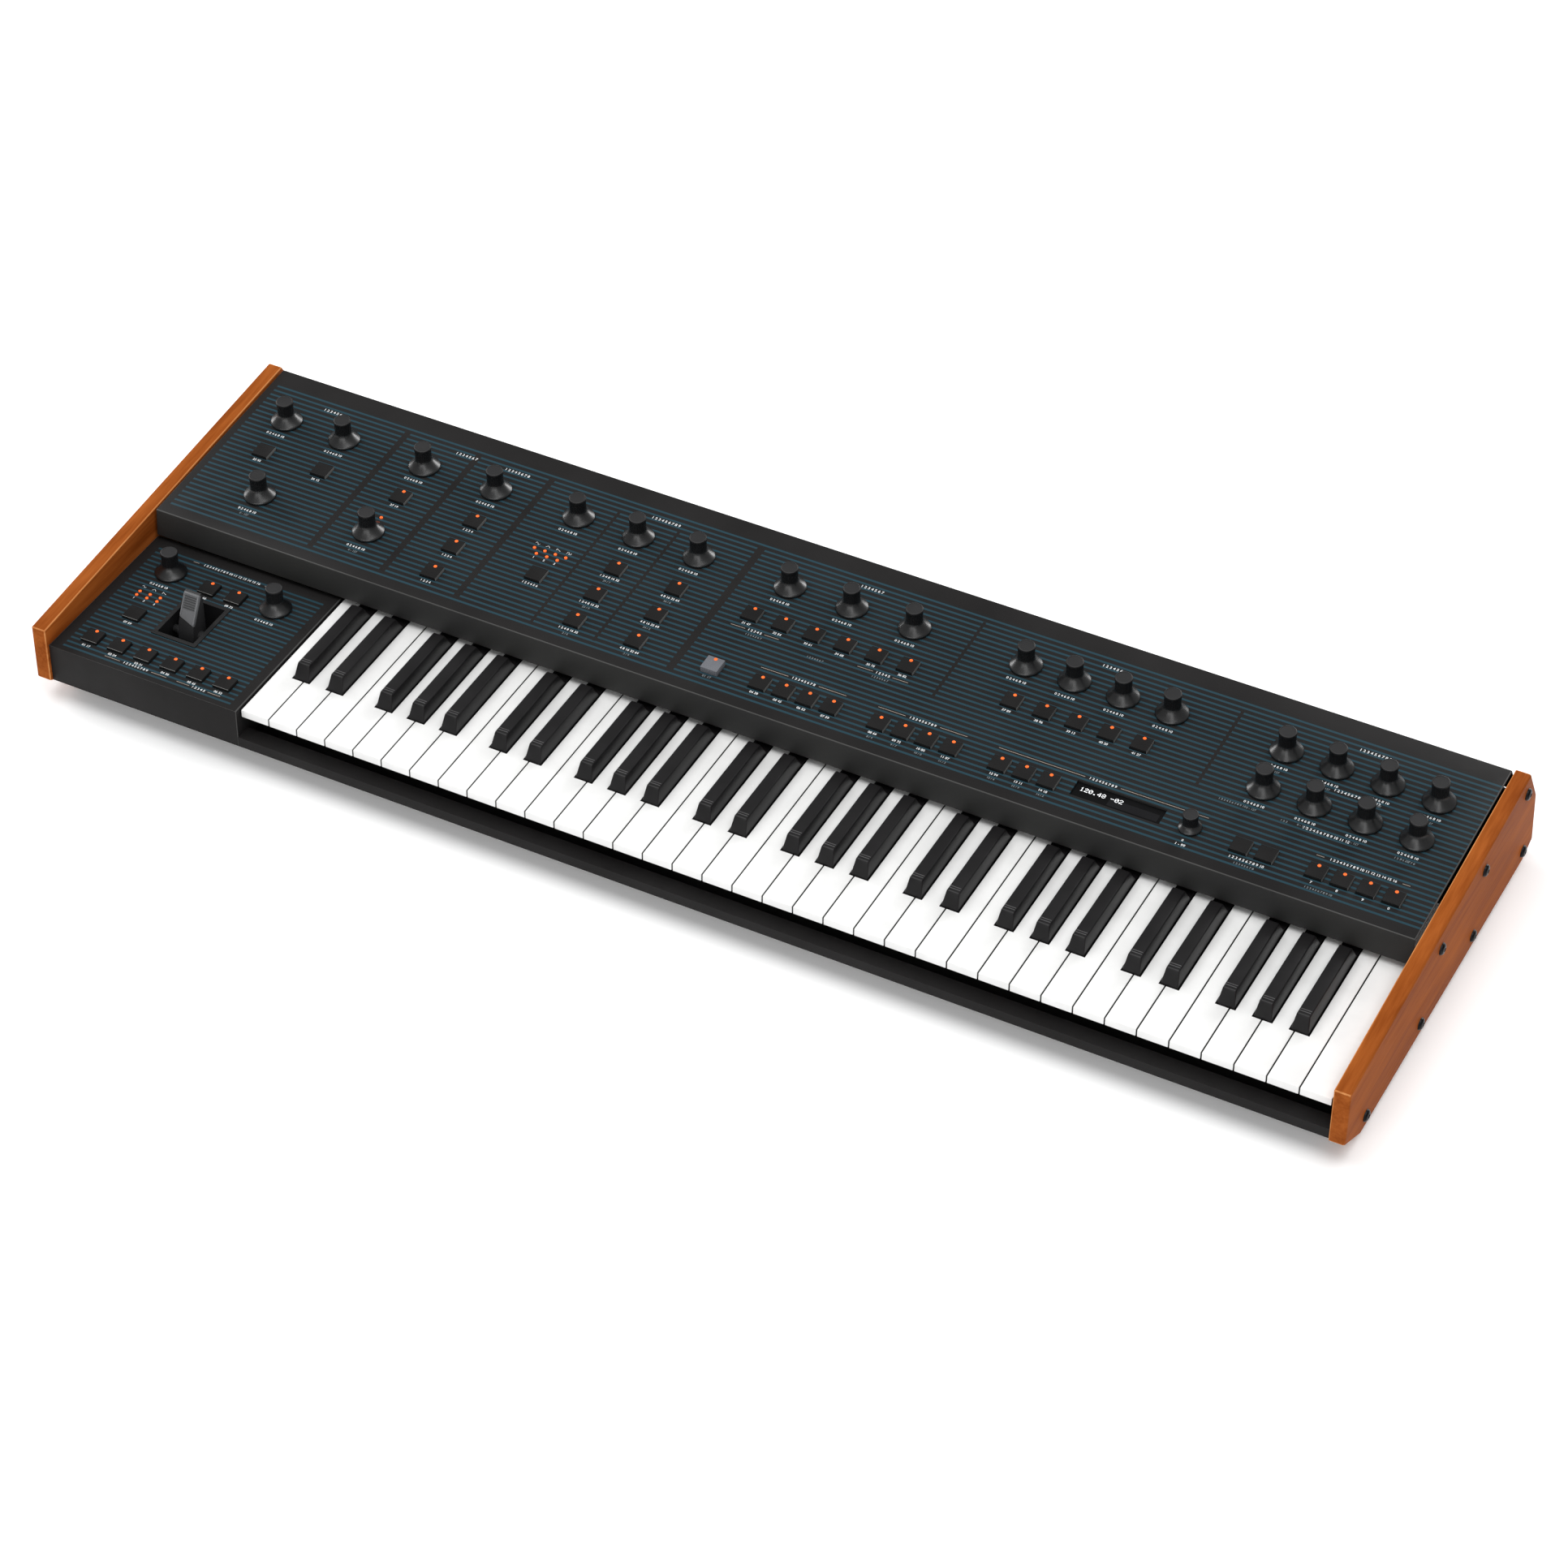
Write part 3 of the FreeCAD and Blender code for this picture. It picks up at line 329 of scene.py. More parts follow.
# %% Plain charcoal paint
def painted(name, dark="1f1e1e", light="262525", specular=0.06):
    """Charcoal paint with a fine orange-peel; returns the colour too, for prints to cover."""
    material, shader, where = blank(name, Specular_IOR_Level=specular)
    drift = noise(material, where, 14, 5)
    colour = ramp(material, drift, tone(dark), tone(light))
    wear = noise(material, where, 60, 6)
    wire(material, spread(material, wear, 0.42, 0.58), shader, "Roughness")
    bump(material, shader, noise(material, where, 1400, 3), 0.22, 0.04)
    return material, shader, where, colour


def plain_paint(name, *tones):
    """Paint without a print."""
    material, shader, where, colour = painted(name, *tones)
    wire(material, colour, shader, "Base Color")
    return material


case_paint = plain_paint("case_paint")
# painted light: a lighter charcoal for the upper panel's front wall, standing for light that falls
# on it from the front
fascia_painted_light = plain_paint("fascia_painted_light", "2e2e2e", "353534", 0.12)
# painted highlight: a lighter grey for the rounds along the folds
fold_painted_highlight = plain_paint("fold_painted_highlight", "3f3f3e", "484847", 0.2)
print("paints:", case_paint.name, fascia_painted_light.name, fold_painted_highlight.name)


# %% Lines printed on a panel
LINE_TEAL, LINE_WIDTH, LINE_BLUR = "27434e", 1.9, 0.03


def calc(material, operation, *values):
    """One sum or comparison."""
    return add(material, "Math", dict(enumerate(values)), operation=operation).outputs[0]


def within(material, value, low, high):
    """1 where the value lies between two limits, in metres."""
    above = calc(material, "GREATER_THAN", value, low)
    below = calc(material, "LESS_THAN", value, high)
    return calc(material, "MULTIPLY", above, below)


def striped(name, panel, rows, pitch, line, columns, gaps):
    """Paint with lines along X: first and last row, pitch and width, then the bare strips."""
    material, shader, where, colour = painted(name)
    split = add(material, "SeparateXYZ", {"Vector": where})
    flat = math.cos(slope) if panel is UPPER else 1.0
    across = calc(material, "SUBTRACT", split.outputs["X"], panel.translation.x)
    along = calc(material, "SUBTRACT", split.outputs["Y"], panel.translation.y)
    along = calc(material, "DIVIDE", along, flat * MM)
    risen = calc(material, "SUBTRACT", along, rows[0] - pitch / 2)
    left_over = calc(material, "FRACT", calc(material, "DIVIDE", risen, pitch))
    place = calc(material, "ABSOLUTE", calc(material, "SUBTRACT", left_over, 0.5))
    half = line / pitch / 2
    edge = {"Value": place, "From Min": half - LINE_BLUR, "From Max": half + LINE_BLUR,
            "To Min": 1.0, "To Max": 0.0}
    mask = add(material, "MapRange", edge).outputs[0]
    rows_on = within(material, along, rows[0] - pitch / 2, rows[1] + pitch / 2)
    columns_on = within(material, across, columns[0] * MM, columns[1] * MM)
    mask = calc(material, "MULTIPLY", mask, calc(material, "MULTIPLY", rows_on, columns_on))
    for column, width, low, high in gaps:
        strip = within(material, across, (column - width / 2) * MM, (column + width / 2) * MM)
        bare = calc(material, "MULTIPLY", strip, within(material, along, low, high))
        mask = calc(material, "MULTIPLY", mask, calc(material, "SUBTRACT", 1.0, bare))
    thin_ink = spread(material, noise(material, where, 900, 3), 0.75, 1.0)
    worn = calc(material, "MULTIPLY", mask, thin_ink)
    mixed = add(material, "Mix", {0: worn, 6: colour, 7: tone(LINE_TEAL)}, data_type="RGBA")
    wire(material, mixed.outputs[2], shader, "Base Color")
    return material


# column, width, first row and last row of each bare strip, in mm
UPPER_GAPS = [
    (-35, 5, 15, 159), (27, 5, 15, 159), (90.5, 5, 15, 159), (267.5, 6, 15, 159),
    (153.5, 2.4, 14, 148), (204, 2.4, 17, 151), (450, 2.4, 71, 158), (654.3, 2.4, 72, 154),
]
upper_paint = striped("upper_panel_paint", UPPER, (11.25, 162.5), 5.2155, LINE_WIDTH,
                      (-154, 852), UPPER_GAPS)
lower_paint = striped("lower_panel_paint", LOWER, (1.0, 128.0), 5.08, LINE_WIDTH,
                      (-153, -9), [])
print("printed lines:", upper_paint.name, lower_paint.name)

# %% [markdown]
# ### Wood, keys, knobs and small parts
# The cheeks are stained orange-brown and lacquered. Grain runs along the board, so the noise is
# stretched a great deal along Y; a second, finer one makes the pores. Keys are glossy, knobs are
# satin on the grip and polished on the skirt, and felt, rubber and steel get recipes of their own.

# %% Wood
def lacquered_wood(name, dark, light):
    material, shader, where = blank(name, Specular_IOR_Level=0.015)
    broad = noise(material, where, 30, 8, (3, 0.35, 3))
    fine = noise(material, where, 260, 4, (2, 0.06, 2))
    figure, pores = calc(material, "MULTIPLY", broad, 0.65), calc(material, "MULTIPLY", fine, 0.35)
    both = calc(material, "ADD", figure, pores)
    wire(material, ramp(material, both, tone(dark), tone(light), 0.36, 0.66), shader, "Base Color")
    wire(material, spread(material, broad, 0.38, 0.55), shader, "Roughness")
    bump(material, shader, fine, 0.18, 0.08)
    return material


wood = lacquered_wood("cheek_wood", "813f15", "a35926")
# painted highlight: a lighter wood for the rounded edges of the cheeks
wood_edge_highlight = lacquered_wood("cheek_edge_highlight", "b06a38", "d08f58")
print("wood:", wood.name, wood_edge_highlight.name)

# %% Plastics, felt, rubber and metal
white_plastic = plastic("key_white", "e8e8e7", "f2f2f1", (0.2, 0.3), 1800, 0.04)
# dark grey: painted shade on the white keys' sides in the gaps, and plain grey plastic on the USB
# tongue
grey_plastic_and_gap_shade = plastic("grey_plastic_and_gap_shade", "4a4a49", "5a5a58", (0.6, 0.7), 1800, 0.2, 0.2)
black_plastic = plastic("key_black", "111011", "181718", (0.28, 0.40), 2600, 0.15, specular=0.3)
# painted highlight: a lighter grey for the ridges on the black keys
ridge_highlight = plastic("key_ridge_highlight", "3c3b3c", "484748", (0.28, 0.40), 2600, 0.15)
grip_plastic = plastic("knob_grip", "101011", "171718", (0.38, 0.5), 2600, 0.25, specular=0.25)
crown_plastic = plastic("knob_crown", "1c1c1d", "242425", (0.45, 0.6), 2600, 0.2, specular=0.3)
skirt_plastic = plastic("knob_skirt", "0e0e0f", "141516", (0.28, 0.33), 1500, 0.01, specular=0.7)
cap_plastic = plastic("cap_dark", "161616", "1d1c1c", (0.42, 0.55), 2600, 0.22, specular=0.12)
# painted highlights: lighter greys for the caps' right sides and front chamfers
cap_right_highlight = plastic("cap_right_highlight", "5c5c5b", "6c6c6a", (0.3, 0.4), 2600, 0.15)
cap_front_highlight = plastic("cap_front_highlight", "90908e", "a0a09e", (0.3, 0.4), 2600, 0.15)
light_cap_plastic = plastic("cap_light", "5e6066", "6c6e73", (0.36, 0.50), 2600, 0.2, specular=0.25)
lever_plastic = plastic("lever_grey", "606163", "727375", (0.30, 0.42), 2200, 0.18, specular=0.3)
hub_plastic = plastic("lever_hub", "232324", "2d2d2e", (0.35, 0.5), 2200, 0.2, specular=0.3)
rim_plastic = plastic("lever_rim", "747577", "828385", (0.30, 0.42), 2200, 0.18, specular=0.3)
pad_plastic = plastic("lever_pad", "3c3d3e", "484949", (0.45, 0.6), 2200, 0.25, specular=0.2)
pocket_plastic = plastic("pocket_black", "131314", "1c1c1d", (0.45, 0.60), 2200, 0.3, specular=0.25)
socket_plastic = plastic("socket_black", "131313", "1d1d1d", (0.35, 0.55), 2200, 0.25)
foot_rubber = plastic("foot_rubber", "141414", "202020", (0.7, 0.85), 1200, 0.5)
felt = plastic("felt", "5a1414", "7a2020", (0.9, 1.0), 900, 0.9)
print("plastics ready")


def metal(name, dark, light, rough, stretch=(1, 1, 1)):
    material, shader, where = blank(name, Metallic=1.0)
    brushed = noise(material, where, 700, 4, stretch)
    wire(material, ramp(material, brushed, tone(dark), tone(light)), shader, "Base Color")
    wire(material, spread(material, brushed, *rough), shader, "Roughness")
    bump(material, shader, brushed, 0.1, 0.02)
    return material


bright_steel = metal("bright_steel", "9c9c9c", "c4c4c4", (0.22, 0.36), (1, 1, 0.05))
black_steel = metal("black_steel", "1c1c1d", "2b2b2c", (0.3, 0.42))
brass = metal("contact_brass", "b08a45", "cfa95c", (0.25, 0.4))


def glowing(name, edge, core, strength, grain=1600):
    """A lit lens or print: colour and light both drift a little over the surface."""
    material, shader, where = blank(name, Roughness=0.4, Specular_IOR_Level=0.2,
                                    Emission_Strength=strength)
    drift = ramp(material, noise(material, where, grain, 2), tone(edge), tone(core))
    wire(material, drift, shader, "Base Color")
    wire(material, drift, shader, "Emission Color")
    return material


lamp_lens = glowing("lamp_lens", "e85a1c", "ff7a38", 0.30)
digit_glow = glowing("digit_glow", "dfe4e6", "ffffff", 0.9)
white_ink = glowing("white_ink", "d2d5d6", "e8eaeb", 0.0, 3000)
grey_ink = glowing("grey_ink", "666e72", "7b8387", 0.0, 3000)
warm_ink = glowing("warm_ink", "8f8379", "a89a8d", 0.0, 3000)
display_field = plastic("display_field", "121214", "19191b", (0.4, 0.5), 600, 0.01, specular=0.1)
display_glass = plastic("display_glass", "070708", "0e0e0f", (0.25, 0.35), 600, 0.01, specular=0.12)
print("materials:", len(bpy.data.materials))

# %% [markdown]
# ### Finishes on the frame's own parts
# Where the solid model's shape is already right, the part stays and only its material changes.

# %% Dress the nodes that stay
FINISHES = {
    "case_pan": case_paint, "rear_panel": case_paint, "keybed_frame": case_paint,
    "rubber_feet": foot_rubber,
    "key_pivot_rod": bright_steel, "key_felt": felt, "panel_pots": socket_plastic,
    "display_window": display_glass, "lever_pocket": pocket_plastic,
    "jack_sockets": socket_plastic, "din_sockets": socket_plastic, "mains_inlet": socket_plastic,
    "power_rocker": socket_plastic, "usb_socket": bright_steel,
}
for node, material in FINISHES.items():
    mesh = frame["nodes"][node].data
    mesh.materials.clear()
    mesh.materials.append(material)
print("dressed", len(FINISHES), "nodes")

# %% [markdown]
# ## Folded panels
# A sheet that is folded in a press has a small round along each fold, and that round is what
# catches the light. The frame's panels are copied and their long folds bevelled, and the rounds
# are painted a lighter grey as a painted highlight. Only edges that run nearly the whole width are
# chosen, so the holes keep their crisp rims. The upper panel's wall that faces front is painted
# lighter too, as painted light from the front.

# %% Soften the folds
def soften_folds(piece, radius, least):
    """Bevels the edges that run along X for more than a length."""
    mesh = piece.data
    pick(piece)
    bpy.ops.object.mode_set(mode="EDIT")
    bpy.ops.mesh.select_all(action="DESELECT")
    bpy.ops.object.mode_set(mode="OBJECT")
    chosen = 0
    for edge in mesh.edges:
        a, b = (mesh.vertices[i].co for i in edge.vertices)
        edge.select = abs(a.x - b.x) > least and (a - b).length - abs(a.x - b.x) < 0.1 * MM
        chosen += edge.select
    bpy.ops.object.mode_set(mode="EDIT")
    # the new round faces take material 1, the lighter grey that paints a highlight along each fold
    bpy.ops.mesh.bevel(offset=radius * MM, segments=3, affect="EDGES", material=1)
    bpy.ops.object.mode_set(mode="OBJECT")
    return chosen


def folded(node, name, radius, least, paint, front):
    """A panel's copy: printed face, a painted highlight on its folds, and a given paint on its
    front wall.
    """
    piece = frame_copy(node, name)
    piece.data.materials.clear()
    for material in (paint, fold_painted_highlight, front):
        piece.data.materials.append(material)
    chosen = soften_folds(piece, radius, least)
    # faces that look to the front take the third paint; on the upper panel it is lighter, as
    # painted light
    for polygon in piece.data.polygons:
        if polygon.normal.y < -0.9:
            polygon.material_index = 2
    own(smooth(piece, 30), "case", "case_paint", stands_for=[node])
    return chosen


folds = folded("top_panel", "panel_upper", 0.7, 0.9, upper_paint, fascia_painted_light)
folds += folded("performance_panel", "panel_lower", 0.7, 0.15, lower_paint, case_paint)
print("folds softened:", folds)

# %% [markdown]
# ## Wood cheeks
# Each cheek is one board, and its edges are eased with a router and sanded. The round is small but
# it carries a bright line all the way along the board, so it is modelled, and its faces are painted
# a lighter wood as a painted highlight.

# %% Ease the cheeks' edges
for side in ("left", "right"):
    board = frame_copy(f"cheek_{side}", f"cheek_{side}_board")
    board.data.materials.clear()
    for material in (wood, wood_edge_highlight):
        board.data.materials.append(material)
    # the eased edges take the lighter wood, a painted highlight along each round
    modified(board, "BEVEL", width=0.8 * MM, segments=3, limit_method="ANGLE",
             angle_limit=math.radians(50), material=1)
    own(smooth(board, 30), "case", "cheek_wood", stands_for=[f"cheek_{side}"])
    print(board.name, len(board.data.polygons), "faces")

# %% [markdown]
# ## Keys
# Keys are moulded, and every outer edge is rounded by about half a millimetre. Without that round
# they look like cut card. Each note's keys are copied from the frame and bevelled. The sides that
# face each other in the gaps are matte and painted dark grey, a painted shade that draws the dark
# line between two keys. Black keys have a wider round along the top, and two fine ridges where the
# fingertip lands, painted a lighter grey as a painted highlight.

# %% White keys
KEY_ROUND, KEY_TOP_ROUND = 0.35 * MM, 1.0 * MM
NOTES = "cdefgab"

for letter in NOTES:
    keys = frame_copy(f"keys_white_{letter}", f"white_keys_{letter}")
    keys.data.materials.clear()
    keys.data.materials.append(white_plastic)
    keys.data.materials.append(grey_plastic_and_gap_shade)
    # painted shade: faces that look sideways into the gaps take the dark grey
    for polygon in keys.data.polygons:
        polygon.material_index = int(abs(polygon.normal.x) > 0.9)
    modified(keys, "BEVEL", width=KEY_ROUND, segments=2, limit_method="ANGLE",
             angle_limit=math.radians(40), material=0)
    node = f"keys_white_{letter}"
    own(smooth(keys), f"white_{letter}", "key_white", stands_for=[node])
print("white keys:", len(NOTES), "pieces")


# %% Black keys
RIDGE = (8.2, 0.7, 0.7)
RIDGE_ROWS = (7.6, 9.6)  # from the key's front end


def black_keys(node, name, body):
    keys = frame_copy(node, name)
    modified(keys, "BEVEL", width=KEY_TOP_ROUND, segments=3, limit_method="ANGLE",
             angle_limit=math.radians(15))
    own(smooth(keys), body, "key_black", black_plastic, stands_for=[node])
    ridges = []
    for low, high in solids_of(node, Matrix()):
        for back in RIDGE_ROWS:
            centre = ((low.x + high.x) / 2 / MM, low.y / MM + back, high.z / MM)
            ridges.append(block("ridge", RIDGE, centre, 0.25))
    # the ridges are a lighter grey than the key, a painted highlight where they catch the light
    own(joined(name + "_ridges", ridges), body, "key_black", ridge_highlight)


black_keys("keys_black_twos", "black_keys_twos", "black_twos")
black_keys("keys_black_threes", "black_keys_threes", "black_threes")
print("black keys made")

# %% [markdown]
# ## Knobs
# A skirted knob is a turned form: a thin rim, a wide skirt that rises into a slim grip, and a flat
# top with a collar a little wider than the grip. A circle is extruded and resized once for each
# step. The grip's flutes are every third line of points, drawn in towards the axis. Polished
# skirt, satin grip and plain crown are three materials on one mesh, chosen by each face's height.

# %% Turn one knob
# radius and height of each step, in mm, from the end of the stem to the crown
SKIRTED = [
    (3.0, -8.9), (3.0, 0.6), (11.9, 0.6), (12.25, 0.9), (12.25, 1.8), (12.05, 2.2),
    (11.3, 2.9), (10.0, 4.1), (8.6, 5.6), (7.5, 6.9), (6.8, 7.9), (6.4, 8.8), (6.25, 9.6),
    (6.2, 11.0), (6.3, 16.0), (6.45, 18.2), (6.6, 18.9), (6.6, 19.6), (6.3, 20.2),
    (5.8, 20.5), (5.6, 20.5), (5.4, 20.3), (0.6, 20.3),
]
SMALL = [
    (3.0, -8.9), (3.0, 0.6), (8.3, 0.6), (8.5, 0.9), (8.5, 1.7), (8.3, 2.05), (7.3, 2.9),
    (6.3, 3.9), (5.75, 4.7), (5.5, 5.5), (5.4, 6.5), (5.5, 11.2), (5.65, 12.4), (5.8, 12.8),
    (5.8, 13.3), (5.5, 13.8), (5.05, 14.0), (4.9, 14.0), (4.75, 13.85), (0.6, 13.85),
]
KNOB_SIDES = 72
GRIP_FROM, FLUTES_TO, CROWN_FROM = 9.2, 18.6, 20.0
SMALL_GRIP_FROM, SMALL_FLUTES_TO, SMALL_CROWN_FROM = 5.2, 12.6, 13.6


def fluted(piece, low, high, depth=0.965):
    """Every third upright line of points between two heights drawn in towards the axis."""
    pick(piece)
    bpy.ops.object.mode_set(mode="EDIT")
    bpy.ops.mesh.select_all(action="DESELECT")
    bpy.ops.object.mode_set(mode="OBJECT")
    for vertex in piece.data.vertices:
        angle = math.degrees(math.atan2(vertex.co.y, vertex.co.x))
        turn = round(angle / (360 / KNOB_SIDES)) % 3
        vertex.select = low * MM < vertex.co.z < high * MM and turn == 0
    bpy.ops.object.mode_set(mode="EDIT")
    bpy.ops.transform.resize(value=(depth, depth, 1), center_override=(0, 0, 0))
    bpy.ops.object.mode_set(mode="OBJECT")
    return piece


def three_finishes(piece, grip, crown):
    """Polished skirt, satin grip above one height and a plain crown above another."""
    for material in (skirt_plastic, grip_plastic, crown_plastic):
        piece.data.materials.append(material)
    for polygon in piece.data.polygons:
        height = polygon.center.z / MM
        polygon.material_index = int(height > grip) + int(height > crown)


knob = fluted(turned("knob", SKIRTED, KNOB_SIDES), GRIP_FROM + 0.2, FLUTES_TO)
small_knob = fluted(turned("small_knob", SMALL, KNOB_SIDES), SMALL_GRIP_FROM, SMALL_FLUTES_TO)
three_finishes(knob, GRIP_FROM, CROWN_FROM)
three_finishes(small_knob, SMALL_GRIP_FROM, SMALL_CROWN_FROM)
smooth(knob, 32)
smooth(small_knob, 32)
print("one knob has", len(knob.data.polygons), "faces")

# %% Set a knob on every stem
knob_joints = [j for j in frame["joints"] if j["name"].startswith("knob_")]
encoder_joint = joints["encoder_turn"]


def seat(joint):
    """The place of a knob: its joint's point, with Z along its axis."""
    tilt = Vector((0, 0, 1)).rotation_difference(Vector(joint["axis"])).to_matrix().to_4x4()
    return Matrix.Translation(joint["pos_m"]) @ tilt


for joint, piece in zip(knob_joints, copies(knob, [seat(j) for j in knob_joints])):
    node = joint["name"].removesuffix("_turn")
    piece.name = piece.data.name = node + "_turned"
    own(piece, joint["child"], "knob_black", stands_for=[node])
encoder = copies(small_knob, [seat(encoder_joint)])[0]
encoder.name = encoder.data.name = "encoder_turned"
own(encoder, "encoder_body", "knob_black", stands_for=["encoder_select"])
print("knobs set:", len(knob_joints) + 1)

# %% [markdown]
# ## Push caps and their lamps
# Each cap is a low square moulding with a chamfered edge and a slightly sunk face, and most have a
# small orange lens near the back edge. The caps' places are counted from the frame: its node is
# copied, parted into loose pieces, measured and thrown away.

# %% Model a cap and a lens
CAP_WIDTH, CAP_BORDER, CAP_SUNK = 13.5, 1.1, 0.22
CAP_IN_HOLE = 1.9  # how far a cap reaches below the paint


def cap(name, width, proud, face, rim, bright):
    """A square cap whose face is sunk inside a border, with a painted highlight on its right side
    or front.
    """
    height, middle = proud + CAP_IN_HOLE, (proud - CAP_IN_HOLE) / 2
    piece = block(name, (width, width, height), (0, 0, middle))
    pick(piece)
    bpy.ops.object.mode_set(mode="EDIT")
    bpy.ops.mesh.select_all(action="DESELECT")
    bpy.ops.object.mode_set(mode="OBJECT")
    for polygon in piece.data.polygons:
        polygon.select = polygon.normal.z > 0.9
    bpy.ops.object.mode_set(mode="EDIT")
    bpy.ops.mesh.inset(thickness=CAP_BORDER * MM)
    bpy.ops.transform.translate(value=(0, 0, -CAP_SUNK * MM))
    bpy.ops.object.mode_set(mode="OBJECT")
    for material in (face, rim):
        piece.data.materials.append(material)
    modified(piece, "BEVEL", width=0.4 * MM, segments=2, limit_method="ANGLE",
             angle_limit=math.radians(60))
    # painted highlight: faces on the right side, or the chamfer along the front, take the lighter
    # second material
    for polygon in piece.data.polygons:
        facing, centre = polygon.normal, polygon.center
        right = facing.x > 0.3 and centre.x > width * 0.47 * MM
        front = facing.y < -0.3 and 0.15 < facing.z < 0.95 and centre.z > 0
        polygon.material_index = int(front if bright == "front" else right)
    return smooth(piece, 30)


LENS = [(1.35, -0.6), (1.35, 0.1), (1.2, 0.3), (0.8, 0.42), (0.3, 0.46)]
UNLIT = {(-122, 91), (-70, 91), (132, 60), (706, 29), (725, 29), (-125, 54)}


def middles(boxes):
    """Middle column and row, and top, of each box, in mm."""
    return [((low.x + high.x) / 2 / MM, (low.y + high.y) / 2 / MM, high.z / MM)
            for low, high in boxes]


def is_lit(column, row):
    """Whether the cap at a place has a lamp."""
    return not any(abs(column - c) < 2 and abs(row - r) < 2 for c, r in UNLIT)


# %% Set the caps
# each finish: the cap's colour, its painted highlight and the side that carries it
DARK_UPPER, DARK_LOWER = (cap_plastic, cap_right_highlight, "right"), (cap_plastic, cap_front_highlight, "front")
LIGHT = (light_cap_plastic, light_cap_plastic, "right")
cap_spots = {}
for node, panel, body, finishes, slot, lens_row in (
    ("caps_upper", UPPER, "upper_buttons", DARK_UPPER, "cap_dark", 4.9),
    ("cap_hold", UPPER, "hold_button", LIGHT, "cap_light", 4.9),
    ("caps_lower", LOWER, "lower_buttons", DARK_LOWER, "cap_dark", 5.1),
):
    spots = middles(solids_of(node, panel))
    cap_spots[node] = spots
    proud = spots[0][2]
    places = [spot(panel, x, y) for x, y, _ in spots]
    made = copies(cap("cap", CAP_WIDTH, proud, *finishes), places)
    own(joined(node + "_moulded", made), body, slot, stands_for=[node])
    lit = [spot(panel, x, y + lens_row, proud - 0.2) for x, y, _ in spots if is_lit(x, y)]
    lenses = copies(smooth(turned("lens", LENS, 20)), lit)
    own(joined(node + "_lenses", lenses), body, "lamp", lamp_lens)
    print(node, len(spots), "caps,", len(lit), "lit")

# %% Set the fixed lamps
LAMP = [(1.25, -1.0), (1.25, 0.2), (1.1, 0.4), (0.7, 0.55), (0.3, 0.6)]
lamp_places = []
for x, y, _ in [Vector((low + high) / 2) for low, high in solids_of("panel_lights", Matrix())]:
    panel = UPPER if y > fold_y else LOWER
    row = (y - panel.translation.y) / (math.cos(slope) if panel is UPPER else 1.0)
    lamp_places.append(spot(panel, (x - KEY_LEFT) / MM, row / MM))
lamps = copies(smooth(turned("lamp", LAMP, 20)), lamp_places)
own(joined("wave_lamps", lamps), "case", "lamp", lamp_lens, stands_for=["panel_lights"])
print("lamps:", len(lamp_places))

# %% [markdown]
# ## The spring-centred lever
# The lever is a moulded paddle on a round hub, held by a pin at each side. Its body is dark, and a
# light grey plate covers the front where the thumb rests, with a ribbed field on its upper half.
# The frame's own shape is copied for the body, and the corners of its blade are moved until it
# leans back as it should. The plate, ribs and rails are bars laid in a frame of their own, whose Z
# runs up the slanted front face.

# %% Move chosen points
def shifted(piece, test, move, origin=Vector()):
    """Moves the points that pass a test; places and the move are in mm."""
    pick(piece)
    bpy.ops.object.mode_set(mode="EDIT")
    bpy.ops.mesh.select_all(action="DESELECT")
    bpy.ops.object.mode_set(mode="OBJECT")
    for vertex in piece.data.vertices:
        vertex.select = test((vertex.co - origin) / MM)
    bpy.ops.object.mode_set(mode="EDIT")
    bpy.ops.transform.translate(value=[v * MM for v in move])
    bpy.ops.object.mode_set(mode="OBJECT")


print("points can be moved")

# %% Lever body
LEVER_AT = Vector(joints["lever_tilt"]["pos_m"])
lever = frame_copy("lever", "lever_blade")
# the blade's corners, from the top down, found by height and depth from the pivot
shifted(lever, lambda p: p.z > 42.5, (0, 6.0, -6.7), LEVER_AT)
shifted(lever, lambda p: 40 < p.z < 41.5 and p.y > 3, (0, 4.4, -6.5), LEVER_AT)
shifted(lever, lambda p: 41.5 < p.z < 42.5 and p.y < -3, (0, 8.2, -6.5), LEVER_AT)
shifted(lever, lambda p: 23 < p.z < 25, (0, 4.7, -2.0), LEVER_AT)
shifted(lever, lambda p: 13 < p.z < 15 and p.y < -9, (0, 2.5, 0), LEVER_AT)
modified(lever, "BEVEL", width=0.7 * MM, segments=3, limit_method="ANGLE",
         angle_limit=math.radians(40))
own(smooth(lever), "lever_body", "lever_grey", hub_plastic, stands_for=["lever"])
print("lever at", [round(v, 4) for v in LEVER_AT])

# %% Front plate, ribs and rails
PLATE, CORNER_CUT, RIB_PITCH = (13.2, 3.0, 24.6), 5.0, 1.8
FACE_LOW, FACE_HIGH = Vector((0, -7.0, 14.0)), Vector((0, 4.2, 35.5))
face_turn = math.atan2(FACE_HIGH.y - FACE_LOW.y, FACE_HIGH.z - FACE_LOW.z)
FACE = (Matrix.Translation(LEVER_AT + (FACE_LOW + FACE_HIGH) / 2 * MM)
        @ Matrix.Rotation(-face_turn, 4, "X"))
plate = block("lever_plate", PLATE, (0, 1.0, 0))
shifted(plate, lambda p: p.x < 0 and p.z < 0, (0, 0, CORNER_CUT))
modified(plate, "BEVEL", width=0.6 * MM, segments=3, limit_method="ANGLE")
own(smooth(settle(plate, FACE)), "lever_body", "lever_grey", lever_plastic)
ribs = [settle(block("rib", (9.8, 0.9, 0.9), (0, -0.6, 0.4 + RIB_PITCH * step), 0.25), FACE)
        for step in range(6)]
own(joined("lever_ribs", ribs), "lever_body", "lever_grey", pad_plastic)
